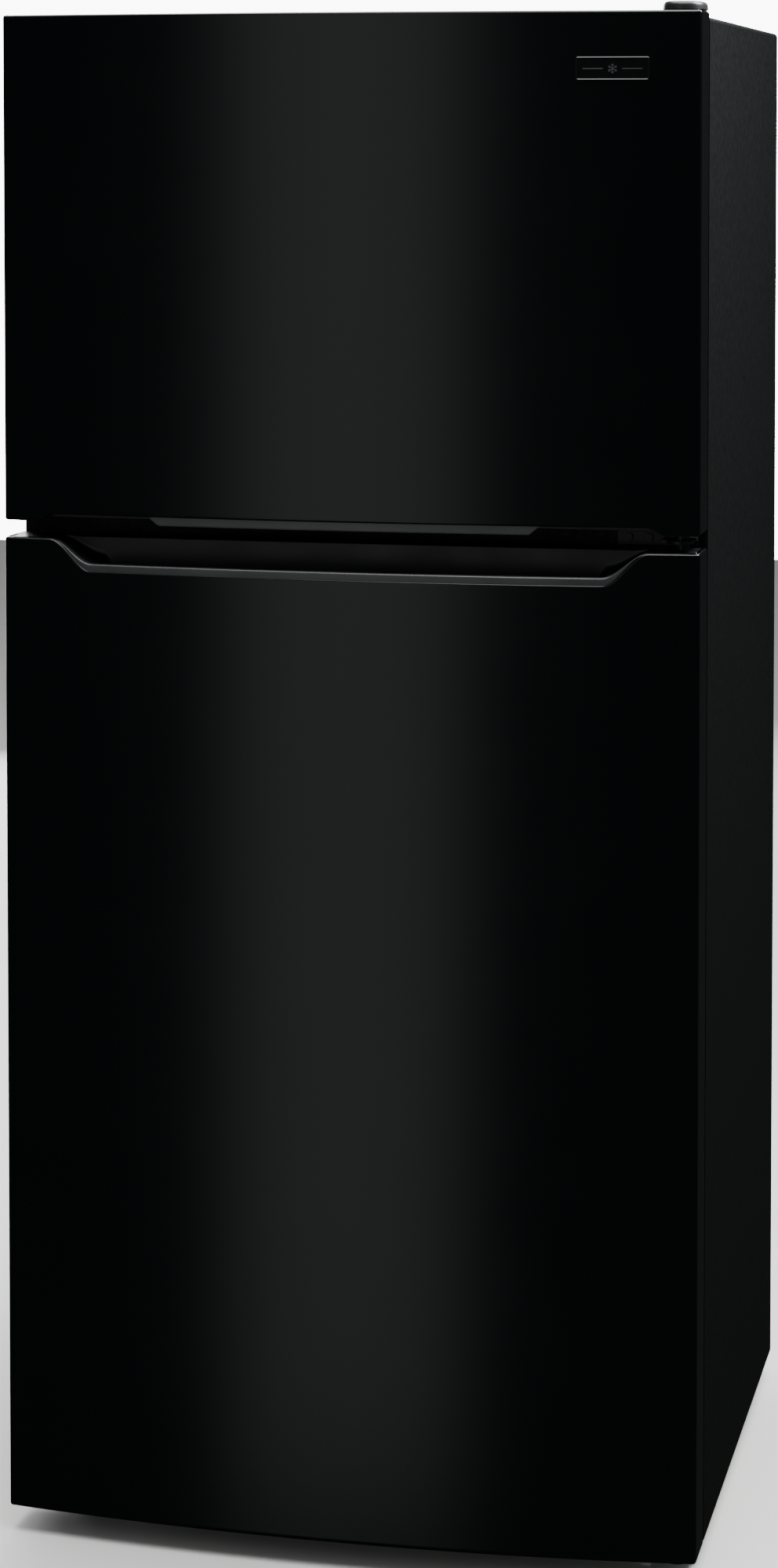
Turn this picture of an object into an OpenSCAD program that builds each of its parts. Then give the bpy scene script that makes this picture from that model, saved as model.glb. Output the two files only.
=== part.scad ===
// Top freezer refrigerator with two bowed doors hinged on the right.
// +Z is up, the doors face -Y, and the origin is on the floor under the middle of the overall box.

/* [Overall] */
// Width over the doors
door_w = 762; // [640:1:860]
// Depth of the cabinet without its doors
cab_d = 624; // [560:1:760]
// Height of the doors' lower edge above the floor
foot_h = 28; // [26:1:40]
// Height of the lower door
food_door_h = 1075; // [960:1:1300]
// Gap between the two doors
door_gap = 18; // [17:0.5:22]
// Height of the upper door
ice_door_h = 549; // [450:1:660]
// How far each cabinet side stands in from the doors' edges
side_inset = 1; // [0.5:0.5:4]
// How far the cabinet's top lies below the upper door's top
top_drop = 5; // [4:0.5:8]

/* [Doors] */
// Thickness of a door at its side edges
door_t = 60; // [52:1:75]
// How far a door's front bows out at its middle
door_bow = 26; // [5:1:40]
// Space between door and cabinet that the gasket closes
gasket_gap = 10; // [9:0.5:14]
// Clearance between a gasket and the cabinet's front
gasket_clear = 0.4; // [0.3:0.1:1]
// Thickness of the formed steel skin of a door
skin_t = 1; // [0.8:0.1:1.5]
// Thickness of a door's inner plastic liner
door_liner_t = 2; // [1.5:0.5:3]
// Height of the end caps that carry the hinge bushes
cap_h = 16; // [14:1:24]
// Half width of the lower door's scoop handle at its flat bottom
scoop_half = 278; // [150:1:290]
// Sideways run of the scoop's S-shaped ends
scoop_run = 50; // [40:1:80]
// Depth of the scoop below the lower door's top edge
scoop_drop = 26; // [20:1:34]
// Height of the rolled lip along the scoop's edge
lip_h = 8; // [5:1:12]
// Depth of the finger pocket below the lip's top
pocket_deep = 36; // [28:1:45]
// Half width of the upper door's finger grip
grip_half = 208; // [140:1:240]
// Height of the lighter grip band under the upper door
grip_h = 9; // [6:1:12]
// Height of the finger recess inside the upper door's lower cap
grip_deep = 42; // [30:1:46]

/* [Hinges] */
// Distance of the hinge axis from the doors' right edge
hinge_inset = 23; // [21:0.5:26]
// Distance of the hinge axis in front of the doors' back face
hinge_fwd = 30; // [28:0.5:32]
// Radius of the hinge pins
pin_r = 4.5; // [3.5:0.1:5]
// Radial clearance of the pins in their bushes
pin_clear = 0.05; // [0.02:0.01:0.1]
// Thickness of the hinge plates
hinge_t = 3.5; // [3:0.5:5]
// Radius of the top hinge cover's round front
cover_r = 22; // [21.5:0.25:22.5]
// Height of the top hinge cover above the upper door
cover_h = 10; // [8:0.5:16]

/* [Cabinet] */
// Thickness of the folded steel case
case_t = 1; // [0.8:0.1:1.5]
// Radius of the case's folded top edges
case_r = 5; // [2:0.5:10]
// Width of the case's front return flange
flange_w = 18; // [14:1:24]
// Foam beside the fresh food space
food_wall = 48; // [40:1:60]
// Foam beside the freezer space
ice_wall = 58; // [48:1:70]
// Foam above the freezer space
roof_wall = 60; // [45:1:80]
// Foam behind both spaces
rear_wall = 48; // [40:1:60]
// Thickness of the divider between the two spaces
mullion_t = 60; // [50:1:80]
// Thickness of the plastic cabinet liners
liner_t = 1.5; // [1:0.5:3]
// Height of the fresh food floor above the doors' lower edge
floor_h = 82; // [74:1:120]
// Height of the machine space above the doors' lower edge
deck_h = 234; // [220:1:280]
// Depth of the machine space at its top
deck_d = 180; // [160:1:200]

/* [Inside] */
// Height of the lower glass shelf above the crisper cover
shelf_low = 245; // [200:1:300]
// Height of the upper glass shelf above the lower one
shelf_step = 250; // [200:1:300]
// Thickness of the shelf glass
glass_t = 4; // [3:0.5:5]
// Depth of the crisper drawers
crisper_d = 252; // [200:1:256]
// Height of the crisper drawers
crisper_h = 178; // [140:1:184]
// Wall of bins, boxes and drawers
bin_t = 2.5; // [2:0.5:4]
// How far the door bins stand out from the door's back
bin_d = 102; // [70:1:104]
// Depth of the space kept for the evaporator
evap_d = 70; // [60:1:90]

/* [Hidden] */
$fn = 48;

// Main planes
half_w = door_w / 2;
total_d = cab_d + gasket_gap + door_t + door_bow;
back_y = total_d / 2;
cab_y = back_y - cab_d;
door_back = cab_y - gasket_gap;
door_edge = door_back - door_t;
crown_y = door_edge - door_bow;
bow_r = (half_w * half_w + door_bow * door_bow) / (2 * door_bow);
food_top = foot_h + food_door_h;
ice_low = food_top + door_gap;
ice_top = ice_low + ice_door_h;
cab_top = ice_top - top_drop;
cab_half = half_w - side_inset;
split_z = food_top + door_gap / 2;
hinge_x = half_w - hinge_inset;
hinge_y = door_back - hinge_fwd;
bore_r = pin_r + pin_clear;
cover_tail = 11;
slack = 0.4;

// Spaces inside the cabinet
food_half = cab_half - food_wall;
ice_half = cab_half - ice_wall;
food_floor = foot_h + floor_h;
food_roof = split_z - mullion_t / 2;
ice_floor = split_z + mullion_t / 2;
ice_roof = cab_top - roof_wall;
cavity_back = back_y - rear_wall;
deck_top = foot_h + deck_h;
deck_y = back_y - deck_d;
deck_run = 35;
step_wall = 40;
hump_z = deck_top + step_wall;
hump_y = deck_y - step_wall;
base_z = foot_h + 34;
panel_y = back_y - 2;

// Crispers and shelves
crisper_y = cab_y + 104;
crisper_z = food_floor + liner_t + 3;
crisper_half = food_half - 17;
cover_z = hump_z + liner_t + 6;
cover_t = 14;
frame_h = 16;
shelf_half = food_half - 2;
shelf_y = cab_y + 114;
shelf_back = cavity_back - liner_t - 20;
shelf_zs = [cover_z + cover_t + shelf_low, cover_z + cover_t + shelf_low + shelf_step];
ledge_w = 7;
ledge_h = 8;
slot_x = 140;
slot_w = 62;
slide_z = cover_z + 4;

// Door edges
foam_back = door_back - door_liner_t - 1.4;
grip_lift = 8;
grip_run = 20;
rise_half = half_w - 56;
pocket_back = door_back - 26;
badge_w = 78;
badge_h = 25;
badge_x = half_w - 53 - badge_w / 2;
badge_z = ice_top - 61;

// Door furniture
dyke_w = 40;
ice_dyke_z0 = ice_floor + 14;
ice_dyke_z1 = ice_roof - 14;
rack_y = door_back + 88;
food_dyke_z0 = food_floor + 22;
food_dyke_z1 = food_roof - 14;
food_dyke = food_half - 30;
ice_dyke = ice_half - 33;
dyke_y = door_back + 76;
dyke_low_y = door_back + 34;
bin_y = door_back + bin_d;
low_bin_y = bin_y - 15;
bin_half = food_dyke - dyke_w - 1;
rack_half = ice_dyke - dyke_w - 1;
dairy_z = food_roof - 192;
dairy_h = 110;
lid_t = 3;
lid_axis_y = bin_y - 6;
lid_axis_z = dairy_z + dairy_h - 6;

// Machine space
pan_z = foot_h + 18;
pan_t = 1.5;
roller_r = 19;
roller_w = 24;
axle_r = 4;
roller_x = cab_half - 80;
roller_y = back_y - 60;
leg_x = cab_half - 62;
leg_y = cab_y + 40;
leg_r = 5;
fan_x = -30;
fan_y = back_y - 92;
fan_z = pan_z + 92;
fan_r = 62;
coil_gap = 15;
coil_r = 2.4;
gland_x = -cab_half + 120;
gland_z = deck_top - 42;
gland_r = 4.5;

// Evaporator
evap_front = cavity_back - evap_d;
evap_z = ice_floor + 40;
evap_h = 190;
evap_fan_z = evap_z + evap_h + 78;
evap_fan_r = 50;

// Hinge screws
top_screws = [for (s = [[-14, 62], [3, 62], [-6, 84]]) [hinge_x + s[0], hinge_y + s[1]]];
mid_screws = [for (x = [-62, -40]) hinge_x + x];
low_screws = [for (x = [-58, -36]) hinge_x + x];
screw_r = 2.4;
screw_in = 14;

// Control housing
knob_r = 19;
knob_x = 92;
house_z = food_roof - liner_t - 42;
house_y = cab_y + 124;
switch_x = -food_half + 52;
switch_z = food_top - 6.5;
switch_r = 3.4;
switch_travel = 6;

// A block between two corners.
module block(x0, x1, y0, y1, z0, z1) {
    translate([x0, y0, z0]) cube([x1 - x0, y1 - y0, z1 - z0]);
}

// The same block on the left and on the right of the middle plane.
module both_sides() {
    children();
    mirror([1, 0, 0]) children();
}

// A rectangle with round corners, drawn from its centre.
module round_rect(w, h, r) {
    square([w - 2 * r, h], center = true);
    square([w, h - 2 * r], center = true);
    for (x = [-1, 1], y = [-1, 1])
        translate([x * (w / 2 - r), y * (h / 2 - r)]) circle(r = r);
}

// A straight tray with an open top and one wall thickness all round.
module tray(x0, x1, y0, y1, z0, z1, t) {
    difference() {
        block(x0, x1, y0, y1, z0, z1);
        block(x0 + t, x1 - t, y0 + t, y1 - t, z0 + t, z1 + 1);
    }
}

// Plan of a door, drawn in from its bowed front and its sides by an inset.
module door_plan(inset = 0, back = door_back) {
    intersection() {
        translate([0, crown_y + bow_r]) circle(r = bow_r - inset, $fn = 720);
        translate([-half_w + inset, crown_y - 1]) square([door_w - 2 * inset, back - crown_y + 1]);
    }
}

module door_slab(z0, z1, inset = 0, back = door_back) {
    translate([0, 0, z0]) linear_extrude(z1 - z0) door_plan(inset, back);
}

// One S-shaped end of an edge: height eased from z0 at x0 to z1 at x1.
function ease(x0, z0, x1, z1, n = 8) =
    [for (i = [0:n]) let (u = i / n) [x0 + (x1 - x0) * u, z0 + (z1 - z0) * (1 - cos(180 * u)) / 2]];
function flipped(points) = [for (i = [len(points) - 1:-1:0]) [-points[i][0], points[i][1]]];

// Region above an edge that dips by a drop between S-shaped ends, seen from the front.
module dip_2d(half, run, z_high, drop, top) {
    left = ease(-half - run, z_high, -half, z_high - drop);
    polygon(concat([[-half - run, top]], left, flipped(left), [[half + run, top]]));
}

module dip(half, run, z_high, drop, top, y0, y1) {
    translate([0, y1, 0]) rotate([90, 0, 0]) linear_extrude(y1 - y0) dip_2d(half, run, z_high, drop, top);
}

// Region under an edge that rises by a lift between S-shaped ends.
module rise(half, run, z_low, lift, bottom, y0, y1) {
    left = ease(-half - run, z_low, -half, z_low + lift);
    translate([0, y1, 0]) rotate([90, 0, 0]) linear_extrude(y1 - y0)
        polygon(concat([[-half - run, bottom]], left, flipped(left), [[half + run, bottom]]));
}

// Hinge screws, either their heads too or only the holes that they need.
module screws(r, head) {
    for (s = top_screws)
        translate([s[0], s[1], cab_top + hinge_t]) {
            if (head) cylinder(r = 4.6, h = 3, $fn = 6);
            translate([0, 0, -hinge_t - screw_in]) cylinder(r = r, h = hinge_t + screw_in + 0.5);
        }
    for (x = mid_screws)
        front_screw(x, split_z, r, head);
    for (x = low_screws)
        front_screw(x, foot_h + 18, r, head);
}

module front_screw(x, z, r, head) {
    translate([x, cab_y - hinge_t, z]) rotate([-90, 0, 0]) {
        if (head) translate([0, 0, -3]) cylinder(r = 4.6, h = 3, $fn = 6);
        translate([0, 0, -0.5]) cylinder(r = r, h = hinge_t + screw_in + 0.5);
    }
}

// ---- Cabinet ----

module outer_case() {
    color("#1d1f20") difference() {
        translate([0, back_y, 0]) rotate([90, 0, 0]) linear_extrude(cab_d) difference() {
            case_2d(0);
            case_2d(case_t);
        }
        screws(screw_r + 0.2, false);
    }
    color("#1d1f20") difference() {
        union() {
            case_flange(flange_w, cab_y);
            case_flange(9, back_y - case_t);
        }
        screws(screw_r + 0.2, false);
    }
}

// Section of the case: two sides and a top with folded corners, open below.
// Inward return of the case's sides and top, of a width w, with its front face at y.
module case_flange(w, y) {
    both_sides() block(cab_half - w, cab_half - case_t, y, y + case_t, foot_h, cab_top - case_r);
    block(-cab_half + case_r, cab_half - case_r, y, y + case_t, cab_top - w, cab_top - case_t);
}

module case_2d(inset) {
    r = case_r - inset;
    x = cab_half - inset;
    z = cab_top - inset;
    low = foot_h - (inset > 0 ? 1 : 0);
    translate([-x, low]) square([2 * x, z - r - low]);
    translate([-x + r, low]) square([2 * (x - r), z - low]);
    for (s = [-1, 1]) translate([s * (x - r), z - r]) circle(r = r);
}

module back_panel() {
    rib_x = cab_half / 3;
    color("#8d9194") {
        block(-cab_half + case_t + slack, cab_half - case_t - slack, panel_y, panel_y + case_t - 0.1,
            deck_top, cab_top - case_r);
        for (s = [-1, 0, 1])
            block(s * rib_x - 20, s * rib_x + 20, panel_y + case_t - 0.1, back_y - 0.2,
                deck_top + 80, cab_top - 90);
    }
}

// Side view of the fresh food space, grown outwards by a wall.
module food_side_2d(grow, front) {
    polygon([
        [front, food_floor - grow], [hump_y - deck_run - grow, food_floor - grow],
        [hump_y - grow, hump_z - grow],
        [cavity_back + grow, hump_z - grow], [cavity_back + grow, food_roof + grow], [front, food_roof + grow]
    ]);
}

module food_space(grow, front) {
    translate([-food_half - grow, 0, 0]) rotate([90, 0, 90]) linear_extrude(2 * (food_half + grow))
        food_side_2d(grow, front);
}

module ice_space(grow, front) {
    block(-ice_half - grow, ice_half + grow, front, cavity_back + grow, ice_floor - grow, ice_roof + grow);
}

module cabinet_foam() {
    front = cab_y + 2;
    x = cab_half - case_t;
    color("#e8dfc0") difference() {
        translate([-x, 0, 0]) rotate([90, 0, 90]) linear_extrude(2 * x) polygon([
            [front, base_z], [deck_y - deck_run, base_z], [deck_y, deck_top], [panel_y, deck_top],
            [panel_y, cab_top - case_t], [front, cab_top - case_t]
        ]);
        food_space(liner_t, front - 1);
        ice_space(liner_t, front - 1);
        both_sides() foam_corner();
        screws(screw_r + 0.2, false);
        switch_bore(8);
        duct_bore(9);
    }
}

// Sliver that the case's folded corner takes off the foam.
module foam_corner() {
    r = case_r - case_t;
    translate([cab_half - case_r, back_y + 1, cab_top - case_r]) rotate([90, 0, 0]) linear_extrude(cab_d + 2)
        difference() {
            square([case_r, case_r]);
            circle(r = r);
        }
}

module switch_bore(r) {
    translate([switch_x, cab_y - 1, switch_z]) rotate([-90, 0, 0]) cylinder(r = r, h = 26);
}

// Drain and air duct through the divider at its rear.
module duct_bore(r) {
    translate([0, cavity_back - 24, food_roof - 3]) cylinder(r = r, h = mullion_t + 6);
}

module freezer_liner() {
    color("#f1f3f2") difference() {
        union() {
            ice_space(liner_t, cab_y);
            block(-cab_half + flange_w + slack, cab_half - flange_w - slack, cab_y, cab_y + 2,
                ice_floor - 8, cab_top - flange_w - slack);
        }
        ice_space(0, cab_y - 1);
        duct_bore(7);
        screws(screw_r + 0.2, false);
    }
    color("#f1f3f2") both_sides()
        block(ice_half - ledge_w, ice_half + 0.5, cab_y + 100, cavity_back - evap_d - 12,
            ice_floor + 205 - ledge_h, ice_floor + 205);
}

module food_liner() {
    color("#f1f3f2") difference() {
        union() {
            food_space(liner_t, cab_y);
            block(-cab_half + flange_w + slack, cab_half - flange_w - slack, cab_y, cab_y + 2,
                base_z, food_roof + 8);
        }
        food_space(0, cab_y - 1);
        duct_bore(7);
        screws(screw_r + 0.2, false);
    }
    color("#f1f3f2") both_sides() {
        for (z = shelf_zs)
            block(food_half - ledge_w, food_half + 0.5, shelf_y, shelf_back, z - ledge_h - 0.2, z - 0.2);
        block(food_half - ledge_w, food_half + 0.5, crisper_y, cavity_back - 8,
            cover_z - ledge_h + 2, cover_z - 0.2);
    }
}

module centre_rail() {
    color("#232526") difference() {
        union() {
            block(-cab_half + flange_w + slack, cab_half - flange_w - slack, cab_y, cab_y + case_t,
                food_roof + 8 + slack, ice_floor - 8 - slack);
            block(-cab_half + flange_w + 8, cab_half - flange_w - 8, cab_y + case_t, cab_y + 2,
                food_roof + 10, food_roof + 14);
        }
        screws(screw_r + 0.2, false);
        switch_bore(switch_r + 0.1);
    }
}

module base_frame() {
    rail = cab_half - case_t - slack;
    color("#2b2d2e") difference() {
        union() {
            both_sides() block(rail - 36, rail, cab_y + case_t + slack, back_y - 12, base_z - 6, base_z - 1);
            both_sides() block(rail - 3, rail, cab_y + case_t + slack, back_y - 12, foot_h + 4, base_z - 3);
            block(-rail, rail, cab_y + 12, cab_y + 72, base_z - 8, base_z - 1);
            block(-cab_half + flange_w + slack, cab_half - flange_w - slack, cab_y, cab_y + 14,
                foot_h + 3, base_z - 0.5);
            both_sides() translate([leg_x, leg_y, pan_z - 8]) cylinder(r = 11, h = base_z - pan_z + 2);
            block(-rail, rail, deck_y - deck_run + 12, back_y - 12, pan_z, pan_z + pan_t);
            block(-rail, rail, back_y - 13.5, back_y - 12, pan_z, pan_z + 16);
            both_sides() for (s = [-1, 1]) roller_ear(s);
        }
        both_sides() translate([leg_x, leg_y, foot_h])
            cylinder(r = leg_r + pin_clear, h = base_z - foot_h + 1);
        both_sides() translate([roller_x - 40, roller_y, roller_r]) rotate([0, 90, 0])
            cylinder(r = axle_r, h = 80);
        both_sides() block(roller_x - roller_w / 2 - 3, roller_x + roller_w / 2 + 3,
            roller_y - roller_r - 4, roller_y + roller_r + 4, pan_z - 1, pan_z + pan_t + 1);
        screws(screw_r + 0.2, false);
    }
}

module roller_ear(s) {
    x = roller_x + s * (roller_w / 2 + 3);
    block(min(x, x + s * 2), max(x, x + s * 2), roller_y - 14, roller_y + 14, roller_r - 10, pan_z + 0.5);
}

module roller_axles() {
    both_sides() color("#a9adb0")
        translate([roller_x - roller_w / 2 - 7, roller_y, roller_r]) rotate([0, 90, 0]) {
        cylinder(r = axle_r, h = roller_w + 14);
        cylinder(r = axle_r + 2, h = 1.8);
    }
}

module toe_grille() {
    left = -cab_half + 26;
    right = hinge_x - 72;
    count = floor((right - left - 40) / 34);
    pitch = (right - left - 20) / count;
    color("#1b1c1d") difference() {
        union() {
            block(left, right, cab_y - 6, cab_y - 2.5, 9, base_z - 2);
            block(left, right, cab_y - 2.5, cab_y + 8, 9, 11.5);
            for (x = [left + 4, (left + right) / 2, right - 8])
                block(x, x + 4, cab_y - 3, cab_y - slack, 11, base_z - 4);
        }
        for (i = [0:count - 1], z = [16, 27, 38])
            block(left + 13 + i * pitch, left + 13 + i * pitch + pitch - 6, cab_y - 7, cab_y - 2, z, z + 6);
    }
}

// ---- Cooling system ----

module compressor() {
    r = 74;
    color("#141516") translate([180, back_y - 92, pan_z + pan_t]) {
        translate([0, 0, 14]) rotate_extrude() polygon([
            [0, 0], [r - 22, 0], [r - 8, 6], [r, 20], [r, 78], [r + 3, 78], [r + 3, 84], [r, 84], [r, 120],
            [r - 10, 138], [r - 30, 148], [0, 152]
        ]);
        block(-86, 86, -62, 62, 10, 14.5);
        for (x = [-76, 76], y = [-50, 50]) translate([x, y, 0]) cylinder(r = 9, h = 10.5);
        block(-26, 26, -r - 14, -r + 8, 60, 118);
        translate([-r + 2, 30, 118]) rotate([0, -90, 0]) cylinder(r = 4, h = 16);
    }
}

coil_x0 = -cab_half + 46;
coil_x1 = fan_x - 48;

// One U-turn of tube at the end of two runs.
module tube_turn(x, y, z, side) {
    translate([x, y, z]) rotate([0, 0, side > 0 ? -90 : 90])
        rotate_extrude(angle = 180) translate([coil_gap / 2, 0]) circle(r = coil_r, $fn = 24);
}

module condenser_coil() {
    y0 = back_y - 148;
    runs = 8;
    color("#3a3d3f") for (k = [0, 1]) {
        z = pan_z + 62 + k * 26;
        for (i = [0:runs - 1])
            translate([coil_x0, y0 + i * coil_gap, z]) rotate([0, 90, 0])
                cylinder(r = coil_r, h = coil_x1 - coil_x0, $fn = 24);
        for (i = [0:runs - 2])
            tube_turn(i % 2 == 0 ? coil_x1 : coil_x0, y0 + (i + 0.5) * coil_gap, z, i % 2 == 0 ? 1 : -1);
    }
    color("#3a3d3f") for (x = [coil_x0 + 24, coil_x1 - 24])
        block(x - 1, x + 1, y0 - 8, y0 + (runs - 1) * coil_gap + 8, pan_z + pan_t, pan_z + 100);
}

module condenser_fan_motor() {
    color("#3d4042") difference() {
        block(fan_x - 2, fan_x, fan_y - 76, fan_y + 76, pan_z + pan_t, fan_z + 78);
        translate([fan_x - 3, fan_y, fan_z]) rotate([0, 90, 0]) cylinder(r = fan_r + 5, h = 4);
    }
    color("#3d4042") {
        translate([fan_x + 34, fan_y, fan_z]) rotate([0, 90, 0]) cylinder(r = 24, h = 26);
        translate([fan_x + 16, fan_y, fan_z]) rotate([0, 90, 0]) cylinder(r = 3, h = 19);
        for (a = [45:90:315]) translate([fan_x, fan_y, fan_z]) rotate([a, 0, 0])
            block(-1, 36, -4, 4, fan_r + 8, fan_r + 11);
        for (a = [45:90:315]) translate([fan_x, fan_y, fan_z]) rotate([a, 0, 0])
            block(34, 37, -4, 4, 20, fan_r + 11);
    }
}

// Axial fan about +X with a bore for its motor shaft.
module fan(r, hub, w, bore, blades) {
    rotate([0, 90, 0]) difference() {
        union() {
            cylinder(r = hub, h = w, center = true);
            for (i = [0:blades - 1]) rotate([0, 0, i * 360 / blades]) intersection() {
                translate([hub - 3, 0, 0]) rotate([32, 0, 0])
                    translate([0, -r * 0.36, -0.8]) cube([r, r * 0.72, 1.6]);
                cylinder(r = r, h = w, center = true);
            }
        }
        translate([0, 0, w / 2 - 14]) cylinder(r = bore, h = 15);
    }
}

module condenser_fan() {
    color("#26282a") translate([fan_x + 6, fan_y, fan_z]) fan(fan_r, 18, 22, 3 + pin_clear, 5);
}

module drain_pan() {
    color("#303234")
        tray(coil_x0 + 6, coil_x1 - 10, back_y - 156, back_y - 30, pan_z + 104, pan_z + 142, bin_t);
}

module rear_cover() {
    x = cab_half - 14;
    count = 12;
    pitch = 2 * (x - 130) / count;
    color("#3b3e40") difference() {
        union() {
            block(-x, x, back_y - 9, back_y - 7, pan_z + pan_t + 18, deck_top - 2);
            translate([gland_x, back_y - 14, gland_z]) rotate([-90, 0, 0]) cylinder(r = 9, h = 13);
        }
        for (i = [0:count - 1], k = [0:2])
            block(-x + 120 + (i + 0.2) * pitch, -x + 120 + (i + 0.8) * pitch, back_y - 10, back_y - 6,
                pan_z + 46 + k * 42, pan_z + 72 + k * 42);
        translate([gland_x, back_y - 15, gland_z]) rotate([-90, 0, 0]) cylinder(r = gland_r, h = 15);
    }
}

module evaporator() {
    fins = 22;
    w = ice_half - 60;
    color("#c9ced1") {
        for (i = [0:fins - 1])
            block(-w + i * 2 * w / (fins - 1) - 0.4, -w + i * 2 * w / (fins - 1) + 0.4,
                evap_front + 12, cavity_back - 4, evap_z, evap_z + evap_h);
        for (k = [0:4], j = [0, 1])
            translate([-w - 12, evap_front + 24 + j * 26, evap_z + 20 + k * 38]) rotate([0, 90, 0])
                cylinder(r = 4, h = 2 * w + 24, $fn = 24);
    }
}

module evaporator_cover() {
    x = ice_half - 3;
    color("#eceeed") difference() {
        union() {
            block(-x, x, evap_front - 2.5, evap_front, ice_floor + 2, ice_roof - 2);
            block(-x, x, evap_front, cavity_back - 1, ice_roof - 4.5, ice_roof - 2);
        }
        translate([0, evap_front - 3, evap_fan_z]) rotate([-90, 0, 0]) difference() {
            cylinder(r = evap_fan_r + 4, h = 4);
            for (a = [0, 60, 120]) rotate([0, 0, a]) translate([0, 0, 2]) cube([4, 120, 6], center = true);
            for (k = [1:3]) ring(12 * k + 10, 3, 5);
        }
        for (i = [-5:4], z = [ice_floor + 22, ice_roof - 44])
            block(i * 54 + 8, i * 54 + 46, evap_front - 4, evap_front + 1, z, z + 10);
    }
}

module ring(r, w, h) {
    difference() {
        cylinder(r = r + w / 2, h = h);
        translate([0, 0, -1]) cylinder(r = r - w / 2, h = h + 2);
    }
}

module evaporator_fan_motor() {
    color("#5a5d60") {
        translate([0, evap_front + 34, evap_fan_z]) rotate([-90, 0, 0]) cylinder(r = 20, h = 22);
        translate([0, evap_front + 20, evap_fan_z]) rotate([-90, 0, 0]) cylinder(r = 2.5, h = 16);
        block(-70, 70, evap_front + 50, evap_front + 53, evap_fan_z - 6, evap_fan_z + 6);
        for (x = [-70, 66])
            block(x, x + 4, evap_front + 0.2, evap_front + 53, evap_fan_z - 6, evap_fan_z + 6);
    }
}

module evaporator_fan() {
    color("#d9dcdd") translate([0, evap_front + 18, evap_fan_z]) rotate([0, 0, 90])
        fan(evap_fan_r, 14, 18, 2.5 + pin_clear, 5);
}

// ---- Inside ----

module control_housing() {
    x = 150;
    color("#eef0ef") difference() {
        union() {
            block(-x, x, house_y, house_y + 170, house_z, food_roof - liner_t + 1.3);
            for (s = [-1, 1]) translate([s * knob_x, house_y - 3, house_z + 20]) rotate([-90, 0, 0])
                cylinder(r = 7, h = 5);
        }
        block(-x + 3, x - 3, house_y + 3, house_y + 167, house_z + 3, food_roof - liner_t - 2);
        block(-100, 100, house_y + 40, house_y + 150, house_z - 1, house_z + 4);
        for (s = [-1, 1]) translate([s * knob_x, house_y - 4, house_z + 20]) rotate([-90, 0, 0])
            cylinder(r = 3 + pin_clear, h = 9);
    }
}

module light_lens() {
    color([0.95, 0.95, 0.9, 0.6]) difference() {
        block(-99.7, 99.7, house_y + 40.3, house_y + 149.7, house_z - 4, house_z + 3);
        block(-97, 97, house_y + 43, house_y + 147, house_z - 2, house_z + 4);
    }
}

module knob(x) {
    color("#d5d8d9") translate([x, house_y - 3.3, house_z + 20]) rotate([90, 0, 0]) {
        cylinder(r = knob_r, h = 5);
        translate([0, 0, 5]) cylinder(r1 = knob_r - 2, r2 = knob_r - 4, h = 7);
        translate([-3, -knob_r + 3, 0]) cube([6, 2 * knob_r - 6, 16]);
        translate([0, 0, -10]) cylinder(r = 3, h = 11);
    }
}

module temperature_knob() {
    knob(-knob_x);
}

module freezer_knob() {
    knob(knob_x);
}

// Plunger that the closed lower door holds in; it follows the door out.
module door_switch() {
    collar = cab_y + 3.5 + switch_travel;
    color("#e4e6e5") translate([switch_x, 0, switch_z]) rotate([-90, 0, 0]) {
        translate([0, 0, door_back + 0.3]) cylinder(r = switch_r, h = collar + 4 - door_back - 0.3);
        translate([0, 0, collar]) cylinder(r = switch_r + 2.4, h = 4);
    }
}

// A rim with glass let into it.
module frame_rim(z, y0, y1, h, rim, half) {
    difference() {
        block(-half, half, y0, y1, z, z + h);
        block(-half + rim, half - rim, y0 + rim, y1 - rim, z - 1, z + h + 1);
        block(-half + rim - 5, half - rim + 5, y0 + rim - 5, y1 - rim + 5, z + h - glass_t - 1, z + h + 1);
    }
}

module pane(z, y0, y1, h, rim, half) {
    e = rim - 4.7;
    block(-half + e, half - e, y0 + e, y1 - e, z + h - glass_t - 0.9, z + h - 0.9);
}

module shelf_frames() {
    color("#e9ebea") for (z = shelf_zs) frame_rim(z, shelf_y, shelf_back, frame_h, 14, shelf_half);
}

module shelf_glass() {
    color([0.75, 0.85, 0.85, 0.4]) for (z = shelf_zs) pane(z, shelf_y, shelf_back, frame_h, 14, shelf_half);
}

module crisper_cover() {
    color("#e9ebea") difference() {
        frame_rim(cover_z, crisper_y, cavity_back - 8, cover_t, 18, shelf_half);
        for (s = [-1, 1]) block(s * slot_x - slot_w / 2, s * slot_x + slot_w / 2,
            crisper_y - 1, crisper_y + 5, slide_z, slide_z + 6);
    }
}

module crisper_glass() {
    color([0.75, 0.85, 0.85, 0.4]) pane(cover_z, crisper_y, cavity_back - 8, cover_t, 18, shelf_half);
}

// Slider knob in its slot in the crisper cover's front.
module humidity_slide(x) {
    color("#aeb3b5") {
        block(x - 15, x + 15, crisper_y - slack, crisper_y + 4.5, slide_z + slack, slide_z + 6 - slack);
        block(x - 8, x + 8, crisper_y - 5, crisper_y - slack, slide_z - 1, slide_z + 7);
    }
}

module humidity_slide_left() {
    humidity_slide(-slot_x - slot_w / 2 + 15.5);
}

module humidity_slide_right() {
    humidity_slide(slot_x - slot_w / 2 + 15.5);
}

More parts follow.
